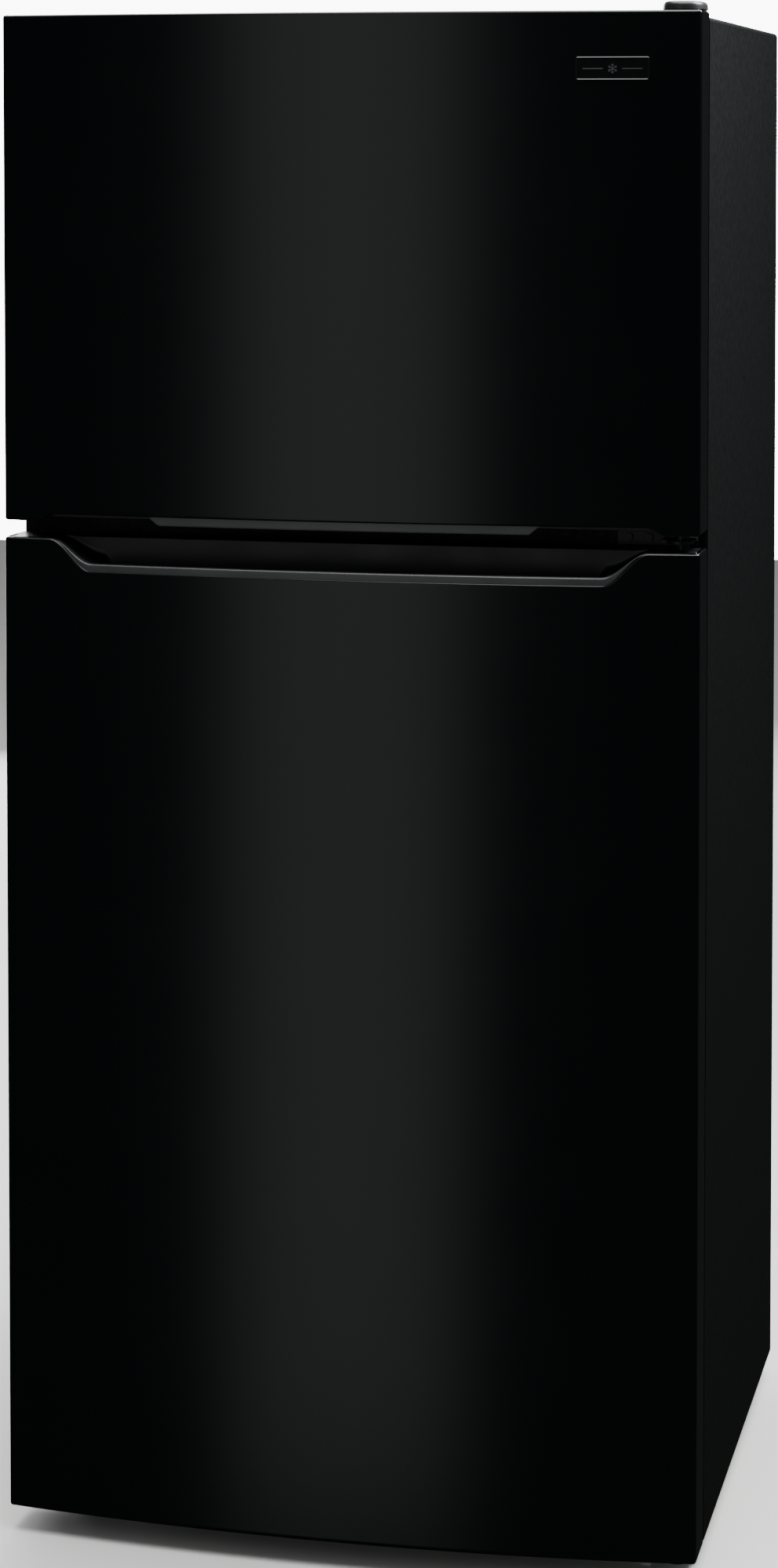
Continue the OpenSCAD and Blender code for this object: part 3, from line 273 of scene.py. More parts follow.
def urethane_foam():
    """Rigid polyurethane foam: cream, matt, with cut cells about 1.5 mm across, whose hollows are painted
    darker as painted shade.
    """
    material, tree, shader, place = surface("rigid_polyurethane_foam", "#dfd3a8", 0.9)
    cell_and_shade = add(tree, "ShaderNodeTexVoronoi", {"Vector": place, "Scale": per_m(1.5)}).outputs["Distance"]
    add(tree, "ShaderNodeBump", {"Height": cell_and_shade, "Distance": 0.4 * MM, "Strength": 1.0},
        {"Normal": shader.inputs["Normal"]})
    # Painted shade: the sunken cell centres are darker cream, the raised rims lighter.
    add(tree, "ShaderNodeValToRGB", {"Fac": cell_and_shade}, {"Color": shader.inputs["Base Color"]},
        stops=((0.1, "#cdbf90"), (0.7, "#e6dcb6")))
    return material


def frosted_lens():
    """Polycarbonate with a frosted inside, so the lamp behind it shows as an even glow."""
    material, tree, shader, place = surface("frosted_polycarbonate", "#f4f4ee", 0.5,
                                            IOR=1.58, Transmission_Weight=0.4)
    frost = add(tree, "ShaderNodeTexNoise",
                {"Vector": place, "Scale": per_m(0.6), "Detail": 1.0}).outputs["Fac"]
    add(tree, "ShaderNodeBump", {"Height": frost, "Distance": 0.03 * MM, "Strength": 1.0},
        {"Normal": shader.inputs["Normal"]})
    return material


def badge_lacquer():
    """Black acrylic plate under clear lacquer: the glossiest thing on the doors."""
    material, tree, shader, place = surface("lacquered_acrylic_plate", "#0a0b0c", 0.08,
                                            IOR=1.49, Coat_Weight=0.5)
    swirl = add(tree, "ShaderNodeTexNoise",
                {"Vector": place, "Scale": per_m(5), "Detail": 4.0}).outputs["Fac"]
    add(tree, "ShaderNodeMapRange", {"Value": swirl, **SPREAD, "To Min": 0.06, "To Max": 0.12},
        {"Result": shader.inputs["Roughness"]})
    return material


def foil_print():
    """Hot-stamped aluminium foil: satin silver with grain from the stamp about 0.4 mm across."""
    material, tree, shader, place = surface("hot_stamped_foil", "#b9bdc0", 0.3, Metallic=1.0)
    stamp = add(tree, "ShaderNodeTexNoise",
                {"Vector": place, "Scale": per_m(0.4), "Detail": 2.0}).outputs["Fac"]
    add(tree, "ShaderNodeMapRange", {"Value": stamp, **SPREAD, "To Min": 0.24, "To Max": 0.4},
        {"Result": shader.inputs["Roughness"]})
    return material


def studio_floor():
    """Pale painted board: matt, with a slow mottle of the roller."""
    material, tree, shader, place = surface("painted_studio_floor", "#e9e9e8", 0.7)
    mottle = add(tree, "ShaderNodeTexNoise",
                 {"Vector": place, "Scale": per_m(400), "Detail": 3.0}).outputs["Fac"]
    add(tree, "ShaderNodeValToRGB", {"Fac": mottle}, {"Color": shader.inputs["Base Color"]},
        stops=((0.3, "#f0f0ef"), (0.7, "#f4f4f3")))
    return material


enamel = door_enamel()
case = case_enamel()
liner = vacuum_formed_liner()
cap_abs = moulded_plastic("black_abs_cap", "#0c0e0f", "#101213", 0.36)
# The lip and grip band are the same black moulding as the caps; their lighter grey is a painted highlight.
lip_painted_highlight_abs = moulded_plastic("abs_lip_painted_highlight", "#2b2d2e", "#303233", 0.34)
hinge_abs = moulded_plastic("charcoal_abs_hinge_cover", "#1f2122", "#242627", 0.4)
black_pp = moulded_plastic("black_polypropylene", "#111314", "#17191a", 0.5, 0.7, 0.02)
white_abs = moulded_plastic("white_abs_frame", "#e6e8e7", "#edeeed", 0.36)
grey_abs = moulded_plastic("grey_abs_knob", "#868b8e", "#92979a", 0.38)
clear_ps = clear_polystyrene("clear_polystyrene_bin", "#eef6f7", 0.05)
crisper_ps = clear_polystyrene("smoky_polystyrene_crisper", "#e3eef0", 0.08)
glass = tempered_glass()
galvanised = galvanised_steel()
zinc = plated_steel()
black_steel = coated_steel("black_dip_coated_steel", "#1a1c1d", 0.38)
compressor_paint = coated_steel("compressor_enamel", "#0b0c0d", 0.22)
coil_paint = coated_steel("coil_enamel", "#121314", 0.45)
wire_coat = coated_steel("white_coated_wire", "#eef0ef", 0.3)
fins = fin_aluminium()
pvc = soft_gasket()
foam = urethane_foam()
lens = frosted_lens()
plate = badge_lacquer()
foil = foil_print()


# ---- Mesh tools, all in millimetres ----
class Form:
    """The points and faces of one piece while it is drawn."""

    def __init__(self):
        self.points, self.faces, self.finishes = [], [], []

    def face(self, corners, finish):
        self.faces.append(tuple(corners))
        self.finishes.append(finish)

    def skin(self, rings, closed=True, first=False, last=False, finish=0):
        """Joins rings of equally many points; first and last close the ends.
        finish is a material's number, or a function of ring and point that gives it."""
        base, count = len(self.points), len(rings[0])
        self.points += [point for ring in rings for point in ring]
        choose = finish if callable(finish) else lambda i, j: finish
        for i in range(len(rings) - 1):
            for j in range(count if closed else count - 1):
                a, b = base + i * count + j, base + i * count + (j + 1) % count
                self.face((a, b, b + count, a + count), choose(i, j))
        if first:
            self.face([base + j for j in reversed(range(count))], choose(0, 0))
        if last:
            self.face([base + (len(rings) - 1) * count + j for j in range(count)], choose(len(rings) - 2, 0))

    def slab(self, low, high, edge=1.0, finish=0):
        """A block whose upright and lying edges are all eased by the same radius."""
        rings = []
        (x0, y0, z0), (x1, y1, z1) = low, high
        steps = [(edge * (1 - math.sin(a)), edge * (1 - math.cos(a))) for a in (0, math.pi / 4, math.pi / 2)]
        for inset, rise in steps:
            rings.append([(x, y, z0 + rise) for x, y in rounded(x0, x1, y0, y1, edge, inset, 3)])
        for inset, rise in reversed(steps):
            rings.append([(x, y, z1 - rise) for x, y in rounded(x0, x1, y0, y1, edge, inset, 3)])
        self.skin(rings, first=True, last=True, finish=finish)

    def make(self, name, body, materials, stands_for=(), slot=None, crease=35, outward=None):
        """Turns the form into a piece that rides on a body."""
        mesh = bpy.data.meshes.new(name)
        mesh.from_pydata([[v * MM for v in point] for point in self.points], [], self.faces)
        for polygon, finish in zip(mesh.polygons, self.finishes):
            polygon.material_index = finish
        sheet = bmesh.new()
        sheet.from_mesh(mesh)
        bmesh.ops.remove_doubles(sheet, verts=sheet.verts, dist=1e-5)
        bmesh.ops.recalc_face_normals(sheet, faces=sheet.faces)
        if outward and sum(f.normal.dot(Vector(outward)) * f.calc_area() for f in sheet.faces) < 0:
            bmesh.ops.reverse_faces(sheet, faces=sheet.faces)
        sheet.to_mesh(mesh)
        sheet.free()
        for material in materials:
            mesh.materials.append(material)
        mesh.shade_smooth()
        mesh.set_sharp_from_angle(angle=math.radians(crease))
        piece = bpy.data.objects.new(name, mesh)
        bpy.context.scene.collection.objects.link(piece)
        weighted = piece.modifiers.new("even_shading", "WEIGHTED_NORMAL")
        weighted.keep_sharp = True
        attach(piece, body)
        if stands_for:
            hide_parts(*stands_for)
        return piece


def rounded(x0, x1, y0, y1, radius, inset=0.0, turns=6, splits=()):
    """Outline of a rectangle with round corners. splits are extra places along each side, from 0 to 1."""
    x0, x1, y0, y1 = x0 + inset, x1 - inset, y0 + inset, y1 - inset
    r = max(radius - inset, 0.05)
    corners = [(x1 - r, y0 + r, -90), (x1 - r, y1 - r, 0), (x0 + r, y1 - r, 90), (x0 + r, y0 + r, 180)]
    line = []
    for k, (x, y, start) in enumerate(corners):
        for i in range(turns + 1):
            a = math.radians(start + 90 * i / turns)
            line.append((x + r * math.cos(a), y + r * math.sin(a)))
        tip, (nx, ny, turn) = line[-1], corners[(k + 1) % 4]
        a = math.radians(turn)
        end = (nx + r * math.cos(a), ny + r * math.sin(a))
        line += [(tip[0] + (end[0] - tip[0]) * s, tip[1] + (end[1] - tip[1]) * s) for s in splits]
    return line


def eased(value):
    """Smooth step from 0 to 1, as half a cosine wave."""
    value = min(max(value, 0.0), 1.0)
    return (1 - math.cos(math.pi * value)) / 2


def arc(cx, cy, r, start, end, steps=5):
    """Points of an arc between two angles in degrees."""
    return [(cx + r * math.cos(math.radians(start + (end - start) * i / steps)),
             cy + r * math.sin(math.radians(start + (end - start) * i / steps))) for i in range(steps + 1)]


# ---- Door plans ----
def front_y(x, inset=0.0):
    """Where a door's bowed front is at x."""
    return crown_y + BOW_R - math.sqrt((BOW_R - inset) ** 2 - x * x)


def stations():
    """Places across a door, closest together where its edges sweep up or down."""
    right = [0]
    while right[-1] < HALF_W - CORNER_R - 0.1:
        x = right[-1]
        step = 3 if 180 < x < 216 or 256 < x < 350 else 8
        right.append(min(x + step, HALF_W - CORNER_R))
    return [-x for x in reversed(right[1:])] + right


def door_outline(inset, back):
    """Plan of a door from its left return round its front to its right return, as x, y."""
    side, r = HALF_W - inset, max(CORNER_R - inset, 0.05)
    turn_x = HALF_W - CORNER_R
    turned = [(-side + BACK_RETURN, back), (-side + 4, back), (-side + 1.2, back - 0.3),
              (-side + 0.3, back - 1.2)]
    left = turned + [(-side, back - 3 + (DOOR_EDGE - back + 3) * s) for s in (0, 0.06, 0.12, 0.5, 0.85, 0.93)]
    low = front_y(turn_x, inset)
    bend = [(-turn_x - r * math.cos(a), low + r - r * math.sin(a))
            for a in (math.pi / 2 * k / 6 for k in range(6))]
    front = [(x, front_y(x, inset)) for x in stations()]
    right = [(-x, y) for x, y in reversed(left + bend)]
    return left + bend + front + right


def scoop_fall(x):
    """How far the lower door's top edge has fallen at x, from 0 to 1."""
    return 1 - eased((abs(x) - SCOOP_HALF) / SCOOP_RUN)


def grip_rise(x):
    """How far the upper door's lower edge has risen at x, from 0 to 1."""
    return 1 - eased((abs(x) - RISE_HALF) / GRIP_RUN)


def corner_sweep(x):
    """How far a cap's front draws back at x to follow the skin's rounded upright edges."""
    return 0.045 * max(abs(x) - HALF_W + 12, 0) ** 2


def door_skin(name, body, low_edge, high_edge, node):
    """Bowed steel skin with rounded upright edges and a rolled hem all round."""
    back = door_back - SKIN_SHY
    form = Form()
    hem = [(6.0, 0.3), (2.6, 0.3), (1.2, 0.7), (0.35, 1.7), (0.0, 3.0), (0.0, 5.0), (0.0, 9.0)]
    rings = []
    for inset, rise in hem:
        rings.append([(x, y, low_edge(x, y) + rise) for x, y in door_outline(inset, back)])
    for inset, rise in reversed(hem):
        rings.append([(x, y, high_edge(x, y) - rise) for x, y in door_outline(inset, back)])
    form.skin(rings, closed=False)
    skin = form.make(name, body, [enamel], (node,), "gloss_black_door", crease=60, outward=(0, -1, 0))
    sheet = skin.modifiers.new("sheet_steel", "SOLIDIFY")
    sheet.thickness, sheet.offset = SKIN_T * MM, -1
    skin.modifiers.move(len(skin.modifiers) - 1, 0)
    return skin


door_skin("freezer_door_skin", "freezer_door_body",
          lambda x, y: ice_low + GRIP_LIFT * grip_rise(x), lambda x, y: ice_top, "freezer_door_panel")
door_skin("food_door_skin", "food_door_body",
          lambda x, y: foot_z, lambda x, y: food_top - (SCOOP_DROP + LIP_H) * scoop_fall(x),
          "food_door_panel")


# ---- Scoop handle of the lower door ----
PAINTED_HIGHLIGHT_STEPS = 13                           # first steps of a cap's section: its lip or band, painted lighter grey as a painted highlight


def scoop_section(x):
    """Section of the lower door's top cap at x, from the lip's foot over the pocket to the back."""
    fall = scoop_fall(x)
    top = food_top - 0.3 - SCOOP_DROP * fall
    lip = 0.4 + LIP_H * fall
    deep = POCKET_DEEP * eased((SCOOP_HALF + 6 - abs(x)) / 34)
    f = front_y(x, CAP_IN * (1 - fall) + 0.1) + corner_sweep(x)
    r = min(3.0, lip * 0.45 + 0.4)
    back_top = food_top - 0.4
    wall = back_top - top + deep
    bend = min(13.0, wall * 0.45 + 0.2)
    section = [(f + 1.2, top - lip - 3), (f + 0.5, top - lip), (f + 0.1, top - lip + min(1.0, lip * 0.3))]
    section += arc(f + r, top - r, r, 180, 90, 5)
    roll = min(2.2, deep * 0.3 + 0.2)
    lip_y = f + LIP_T
    section += arc(lip_y - roll, top - roll, roll, 90, 0, 4)
    foot = min(9.0, deep * 0.5 + 0.2)
    section += arc(lip_y + foot, top - deep + foot, foot, 180, 270, 4)
    section += arc(POCKET_BACK - bend, top - deep + bend, bend, -90, 0, 6)
    crest = min(2.5, wall * 0.3 + 0.1)
    section += arc(POCKET_BACK + crest, back_top - crest, crest, 180, 90, 4)
    section += [(door_back - CAP_SHY - 1.4, back_top), (door_back - CAP_SHY, back_top - 1),
                (door_back - CAP_SHY, back_top - 14)]
    return [(x, y, z) for y, z in section]


def lofted_cap(section, finish):
    """A door cap drawn through its sections from end to end, with both ends closed."""
    ends = HALF_W - CAP_IN
    places = [-ends] + [x for x in stations() if abs(x) < HALF_W - CORNER_R - 1] + [ends]
    rings = [section(x) for x in places]
    form = Form()
    form.skin(rings, closed=False, finish=lambda i, j: finish(places[i], j))
    for ring in (rings[0], rings[-1]):
        base = len(form.points)
        form.points += ring + [(ring[0][0], ring[-1][1], ring[0][2])]
        form.face(range(base, base + len(ring) + 1), 0)
    return form


def lower_door_cap():
    """Moulded cap that closes the lower door's top, with its scoop, rolled lip and finger pocket."""
    # The lip's faces take the lighter grey: a painted highlight along the scoop's lip.
    form = lofted_cap(scoop_section, lambda x, j: 1 if j < PAINTED_HIGHLIGHT_STEPS and scoop_fall(x) > 0.03 else 0)
    form.make("food_door_scoop", "food_door_body", [cap_abs, lip_painted_highlight_abs], ("food_door_scoop_cap",),
              "black_plastic", crease=50, outward=(0, 0, 1))


lower_door_cap()


# ---- Grip of the upper door ----
def grip_section(x):
    """Section of the upper door's lower cap at x, from the band's top round the recess to the back."""
    rise = grip_rise(x)
    edge = ice_low + 0.4 + GRIP_LIFT * rise
    drop = min(max((GRIP_HALF + 5 - abs(x)) * 0.9, 0.0), GRIP_H)
    deep = RECESS_H * eased((GRIP_HALF - 2 - abs(x)) / 14)
    f = front_y(x, CAP_IN) + corner_sweep(x)
    low = edge - drop
    r = min(1.8, drop * 0.3 + 0.1)
    section = [(f, edge + 4), (f, edge + 0.5), (f, low + r)]
    section += arc(f + r, low + r, r, 180, 270, 4)
    section += arc(f + GRIP_T - r, low + r, r, -90, 0, 4)
    roof = edge + deep
    bend = min(10.0, deep * 0.4 + 0.1)
    section += arc(f + GRIP_T + bend, roof - bend, bend, 180, 90, 4)
    wall = POCKET_BACK
    section += arc(wall - bend, roof - bend, bend, 90, 0, 4)
    section += [(wall + 0.5, edge + 0.1), (wall + 1, edge), (door_back - 22, edge),
                (door_back - 22, ice_low + 0.9), (door_back - 21.5, ice_low + 0.4),
                (door_back - CAP_SHY - 0.4, ice_low + 0.4), (door_back - CAP_SHY, ice_low + 0.8),
                (door_back - CAP_SHY, ice_low + 14)]
    return [(x, y, z) for y, z in section]


def upper_door_grip():
    """Moulded cap that closes the upper door's bottom, with its grip band and finger recess."""
    # The band's faces take the lighter grey: a painted highlight along the grip band.
    form = lofted_cap(grip_section, lambda x, j: 1 if j < PAINTED_HIGHLIGHT_STEPS and abs(x) < GRIP_HALF + 5 else 0)
    form.make("freezer_door_grip", "freezer_door_body", [cap_abs, lip_painted_highlight_abs], ("freezer_door_grip_cap",),
              "black_plastic", crease=50, outward=(0, 0, -1))


upper_door_grip()


# ---- Flat caps of the doors ----
def flat_cap(name, node, body, low, high):
    """Moulded cap set in a door's end, with an eased edge."""
    form = Form()
    back = door_back - CAP_SHY
    rings = [[(x, y, z) for x, y in door_outline(CAP_IN + inset, back)[3:-3]]
             for inset, z in ((0.6, low), (0, low + 0.6), (0, high - 0.6), (0.6, high))]
    form.skin(rings, first=True, last=True)
    form.make(name, body, [cap_abs], (node,), "black_plastic")


flat_cap("freezer_door_top_trim", "freezer_door_top_cap", "freezer_door_body", ice_top - 16, ice_top - 0.5)
flat_cap("food_door_bottom_trim", "food_door_bottom_cap", "food_door_body", foot_z + 0.5, foot_z + 16)


# ---- Badge ----
def badge_piece():
    """Lacquered plate with a bevelled rim, a six-armed snowflake and two thin bars, wrapped on the door."""
    low, high = span("badge")
    cx, cz = (low[0] + high[0]) / 2, (low[2] + high[2]) / 2
    tilt = math.asin(cx / BOW_R)
    centre = Vector((cx, crown_y + BOW_R - math.sqrt(BOW_R ** 2 - cx ** 2), cz))
    along, out = Vector((math.cos(tilt), math.sin(tilt), 0)), Vector((math.sin(tilt), -math.cos(tilt), 0))

    def on_door(u, v, w):
        return tuple(centre + along * u + Vector((0, 0, v)) + out * (w - u * u / (2 * BOW_R)))

    form = Form()
    w, h = 39, 12.5
    steps = [(0.15, 0.1, 3), (0, 0.3, 3), (0, 1.2, 3), (0.5, 1.9, 3), (1.0, 2.1, 3), (1.5, 2.0, 3),
             (2.0, 1.5, 3)]
    rings = [[on_door(u, v, lift) for u, v in rounded(-w, w, -h, h, r, inset, 5, (0.1, 0.3, 0.5, 0.7, 0.9))]
             for inset, lift, r in steps]
    form.skin(rings, last=True)

    def stroke(u0, v0, u1, v1, wide):
        side = Vector((v0 - v1, u1 - u0)).normalized() * wide / 2
        flat = [(u0 + side.x, v0 + side.y), (u1 + side.x, v1 + side.y), (u1 - side.x, v1 - side.y),
                (u0 - side.x, v0 - side.y)]
        form.skin([[on_door(u, v, w) for u, v in flat] for w in (1.45, 1.75)], last=True, finish=1)

    for k in range(6):
        a = math.radians(60 * k + 30)
        stroke(0, 0, 5.2 * math.cos(a), 5.2 * math.sin(a), 0.75)
        for side in (-1, 1):
            b = a + side * math.radians(50)
            root = Vector((math.cos(a), math.sin(a))) * 2.9
            stroke(root.x, root.y, root.x + 1.9 * math.cos(b), root.y + 1.9 * math.sin(b), 0.6)
    for side in (-1, 1):
        stroke(side * 10, 0, side * 31, 0, 1.0)
    form.make("snowflake_badge", "freezer_door_body", [plate, foil], ("badge",), "badge_gloss")


badge_piece()


# ---- Hinge cover ----
def hinge_cover():
    """Low moulded cap over the top hinge: round in front, domed, and deeper where it rests on the cabinet."""
    low, high = span("top_hinge_cover")
    r = HINGE_X - low[0]

    def plan(inset):
        back, side = high[1] - inset, r - inset
        front = [(HINGE_X - side * math.cos(a), HINGE_Y - side * math.sin(a))
                 for a in (math.pi * k / 20 for k in range(21))]
        corner, tail = 5, COVER_TAIL - inset
        waist = [(HINGE_X + tail + (side - tail) * eased(1 - s), cab_y - 14 + 12 * s)
                 for s in (0, 0.25, 0.5, 0.75, 1)]
        right = arc(HINGE_X + tail - corner, back - corner, corner, 0, 90, 4)
        left = arc(HINGE_X - side + corner, back - corner, corner, 90, 180, 4)
        return (front + waist + [(HINGE_X + tail, cab_y + 1)] + right + left
                + [(HINGE_X - side, cab_y + 1), (HINGE_X - side, cab_y - 4)])

    def foot(y):
        return cab_top + 0.3 if y > cab_y - 1 else ice_top + 0.9

    top = high[2]
    rings = [[(x, y, foot(y)) for x, y in plan(2.0)], [(x, y, foot(y)) for x, y in plan(0.3)],
             [(x, y, foot(y) + 0.4) for x, y in plan(0)], [(x, y, ice_top + 4.5) for x, y in plan(0.3)]]
    for k in range(1, 6):
        a = math.pi / 2 * k / 5
        rise = (top - ice_top - 5) * math.sin(a)
        rings.append([(x, y, ice_top + 4.5 + rise) for x, y in plan(0.3 + 4 * (1 - math.cos(a)))])
    rings.append([(x, y, top - 0.1) for x, y in plan(8)])
    form = Form()
    form.skin(rings, last=True)
    form.make("top_hinge_cap", "cabinet", [hinge_abs], ("top_hinge_cover",), "black_plastic",
              outward=(0, 0, 1))


hinge_cover()


# ---- Cabinet liners ----
def cavity(opening, flange, back, hump=None):
    """Drawn liner of a space: a flange round its opening, eased edges, and a step over the machine space."""
    x, z0, z1 = opening
    form = Form()

    def ring(y, inset, r, low=None):
        floor = z0 + inset if low is None else low
        return [(px, y, pz) for px, pz in rounded(-x + inset, x - inset, floor, z1 - inset, r, 0, 6)]

    fx, fz0, fz1 = flange
    rings = [[(px, y, pz) for px, pz in rounded(-fx, fx, fz0, fz1, 4, inset, 6)]
             for y, inset in ((cab_y + 2, 0), (cab_y + 0.5, 0.1), (cab_y + 0.15, 0.6))]
    rings += [ring(cab_y + 0.15, -6, 16), ring(cab_y + 0.5, -4, 15), ring(cab_y + 2, -1.6, 14),
              ring(cab_y + 5, -0.3, 13), ring(cab_y + 10, 0, 12), ring(cab_y + 46, 0.2, 12),
              ring(cab_y + 48, 1.2, 12), ring(cab_y + 60, 1.4, 12)]
    low = None
    if hump:
        foot_y, run, low = hump
        floor = z0 + 1.4
        rise = low - floor
        rings += [ring(foot_y - 11, 1.4, 12), ring(foot_y - 5, 1.4, 12, floor + 1.5),
                  ring(foot_y - 1.5, 1.4, 12, floor + 5)]
        rings += [ring(foot_y + run * s, 1.4, 12, floor + rise * s) for s in (0.07, 0.1, 0.5, 0.9, 0.94)]
        rings += [ring(foot_y + run + 1.5, 1.4, 12, low - 3.5), ring(foot_y + run + 5, 1.4, 12, low - 1),
                  ring(foot_y + run + 10, 1.4, 12, low)]
    for y, inset in ((back - 14, 1.4), (back - 7, 2.8), (back - 2.5, 6), (back, 13)):
        rings.append(ring(y, inset, 12, None if low is None else low + inset - 1.4))
    form.skin(rings, last=True)
    return form


def ledges(form, x, zs, y0, y1, deep=7):
    """Moulded ribs that carry the shelves."""
    for z in zs:
        for side in (-1, 1):
            low, high = sorted((side * (x - deep), side * (x - 0.2)))
            form.slab((low, y0, z - 8), (high, y1, z - 0.3), 1.8)


(_, shelf_front, shelf_z), (_, shelf_back, shelf_top) = span("shelf_frames")
(_, cover_front, cover_z), (_, cover_back, _) = span("crisper_cover")
(_, wire_front, wire_z), (_, wire_back, _) = span("freezer_shelf")
(_, _, food_flange_z), (flange_x, liner_back, food_flange_top) = span("food_liner")
(_, _, ice_flange_z), (_, _, ice_flange_top) = span("freezer_liner")
FOOD_X, FOOD_Z0, FOOD_Z1 = 332, 110, 1082          # fresh food space inside the foam
ICE_X, ICE_Z0, ICE_Z1 = 322, 1142, 1605            # freezer space inside the foam
LINER_T = 1.5                                      # thickness of the drawn sheet
HUMP_Y, HUMP_RUN, HUMP_Z = 105, 35, 302            # sloping step over the machine space

form = cavity((FOOD_X - LINER_T, FOOD_Z0 + LINER_T, FOOD_Z1 - LINER_T),
              (flange_x, food_flange_z, food_flange_top), liner_back - 2.5,
              (HUMP_Y - 3, HUMP_RUN, HUMP_Z + LINER_T + 1))
ledges(form, FOOD_X - LINER_T - 1.2, (shelf_z, shelf_top - 16), shelf_front, shelf_back)
ledges(form, FOOD_X - LINER_T - 1.2, (cover_z,), cover_front + 4, cover_back)
form.make("food_cabinet_liner", "cabinet", [liner], ("food_liner",), "white_liner", crease=60,
          outward=(0, -1, 0))

form = cavity((ICE_X - LINER_T, ICE_Z0 + LINER_T, ICE_Z1 - LINER_T),
              (flange_x, ice_flange_z, ice_flange_top), liner_back - 2.5)
ledges(form, ICE_X - LINER_T - 1.2, (wire_z,), wire_front, wire_back, 9)
form.make("freezer_cabinet_liner", "cabinet", [liner], ("freezer_liner",), "white_liner", crease=60,
          outward=(0, -1, 0))


# ---- Door liners and gaskets ----
ENDS = (0.01, 0.02, 0.03, 0.045, 0.06, 0.1, 0.3, 0.5, 0.7, 0.9, 0.94, 0.955, 0.97, 0.98, 0.99)


def door_liner_piece(name, node, body, z0, z1, dyke, tall=76, short=34, wide=40):
    """Drawn inner panel of a door: a flat rim for the gasket, and a dyke that stands tall at the sides."""
    half, dz0, dz1 = dyke

    def crest(z):
        return short + (tall - short) * eased((min(z - dz0, dz1 - z) - 3) / 16)

    def ring(x, low, high, r, height):
        return [(px, height(pz), pz) for px, pz in rounded(-x, x, low, high, r, 0, 6, ENDS)]

    face = door_back - 0.06
    side = HALF_W - BACK_RETURN - 0.6
    rings = [ring(side, z0 + 3, z1 - 3, 4, lambda z: face - 1.8),
             ring(side, z0 + 3, z1 - 3, 4, lambda z: face - 0.5),
             ring(side - 0.6, z0 + 3.6, z1 - 3.6, 4, lambda z: face),
             ring(half + 12, dz0 - 12, dz1 + 12, 12, lambda z: face)]
    for out, up in ((3.5, 0), (1.2, 0.8), (0.2, 3.5)):
        rings.append(ring(half + out, dz0 - out, dz1 + out, 6.5, lambda z, up=up: face + up))
    crown = [(0.3, 5), (0.7, 2.9), (1.7, 1.4), (3.2, 0.4), (5.2, 0)]
    for inset, drop in crown:
        rings.append(ring(half - inset, dz0 + inset, dz1 - inset, 6,
                          lambda z, drop=drop: face + crest(z) - drop))
    inner, step = half - wide, wide / 2
    for inset, drop in reversed(crown):
        rings.append(ring(inner + inset, dz0 + step - inset, dz1 - step + inset, 6,
                          lambda z, drop=drop: face + crest(z) - drop))
    for inset, rise in ((0.3, 0.7), (2, 0), (9, 0), (11, -0.4), (13, -1.3)):
        rings.append(ring(inner - inset, dz0 + step + inset, dz1 - step - inset, 8,
                          lambda z, rise=rise: face + rise))
    form = Form()
    form.skin(rings, last=True)
    form.make(name, body, [liner], (node,), "white_liner", crease=60, outward=(0, 1, 0))


FREEZER_DYKE, FOOD_DYKE = (289, 1156, 1591), (302, 132, 1068)     # half width, lowest and highest z
door_liner_piece("freezer_door_inner_panel", "freezer_door_liner", "freezer_door_body", ice_low, ice_top,
                 FREEZER_DYKE)
door_liner_piece("food_door_inner_panel", "food_door_liner", "food_door_body", foot_z, food_top, FOOD_DYKE)

# Section of the gasket: how far in from its edge, and how far towards the cabinet.
BELLOWS = [(0.5, 0), (0, 1.2), (1.6, 2.6), (0.2, 4.2), (1.4, 5.6), (0.3, 7), (0.3, 8.6), (1.0, 9.3),
           (4, 9.5), (9, 9.1), (14, 9.5), (16.6, 9.3), (17.4, 8.6), (17.4, 7.2), (18.8, 5.8), (17.6, 4.4),
           (19.4, 3), (20, 1.2), (19.5, 0)]


def magnetic_gasket(name, node, body):
    """Extruded gasket mitred round the door: two bellows and the flat head that holds the magnet strip."""
    low, high = span(node)
    form = Form()
    rings = [[(x, low[1] + up, z) for x, z in rounded(low[0], high[0], low[2], high[2], 5, inset, 4)]
             for inset, up in BELLOWS]
    form.skin(rings + rings[:1])
    form.make(name, body, [pvc], (node,), "gasket_rubber", crease=70)


magnetic_gasket("freezer_door_seal", "freezer_door_gasket", "freezer_door_body")
magnetic_gasket("food_door_seal", "food_door_gasket", "food_door_body")


# ---- Bins, racks, crispers and the drain pan ----
def tub(form, low, high, wall=2.5, draft=3, r=10, rim=True, floor=0, edge=0):
    """Open moulded tub: drafted walls, round corners, an eased floor and a rolled rim."""
    x0, y0, z0 = low
    x1, y1, z1 = high
    lip = 1.4 if rim else 0
    outer = [(draft + 6, z0), (draft + 1.6, z0 + 1), (draft + 0.3, z0 + 4), (lip + 0.6, z1 - 12),
             (lip + 0.5, z1 - 5), (0.3, z1 - 4.4), (0, z1 - 3.8), (0, z1 - 1)]
    inner = [(0.4, z1 - 0.2), (1.2, z1), (lip + wall - 0.5, z1), (lip + wall, z1 - 0.8),
             (draft + wall + 0.3, z0 + wall + 5), (draft + wall + 1.8, z0 + wall + 1.2),
             (draft + wall + 7, z0 + wall)]
    rings = [[(x, y, z) for x, y in rounded(x0, x1, y0, y1, r, inset, 5)] for inset, z in outer + inner]
    form.skin(rings, first=True, last=True, finish=lambda i, j: edge if 4 <= i <= 10 else floor)


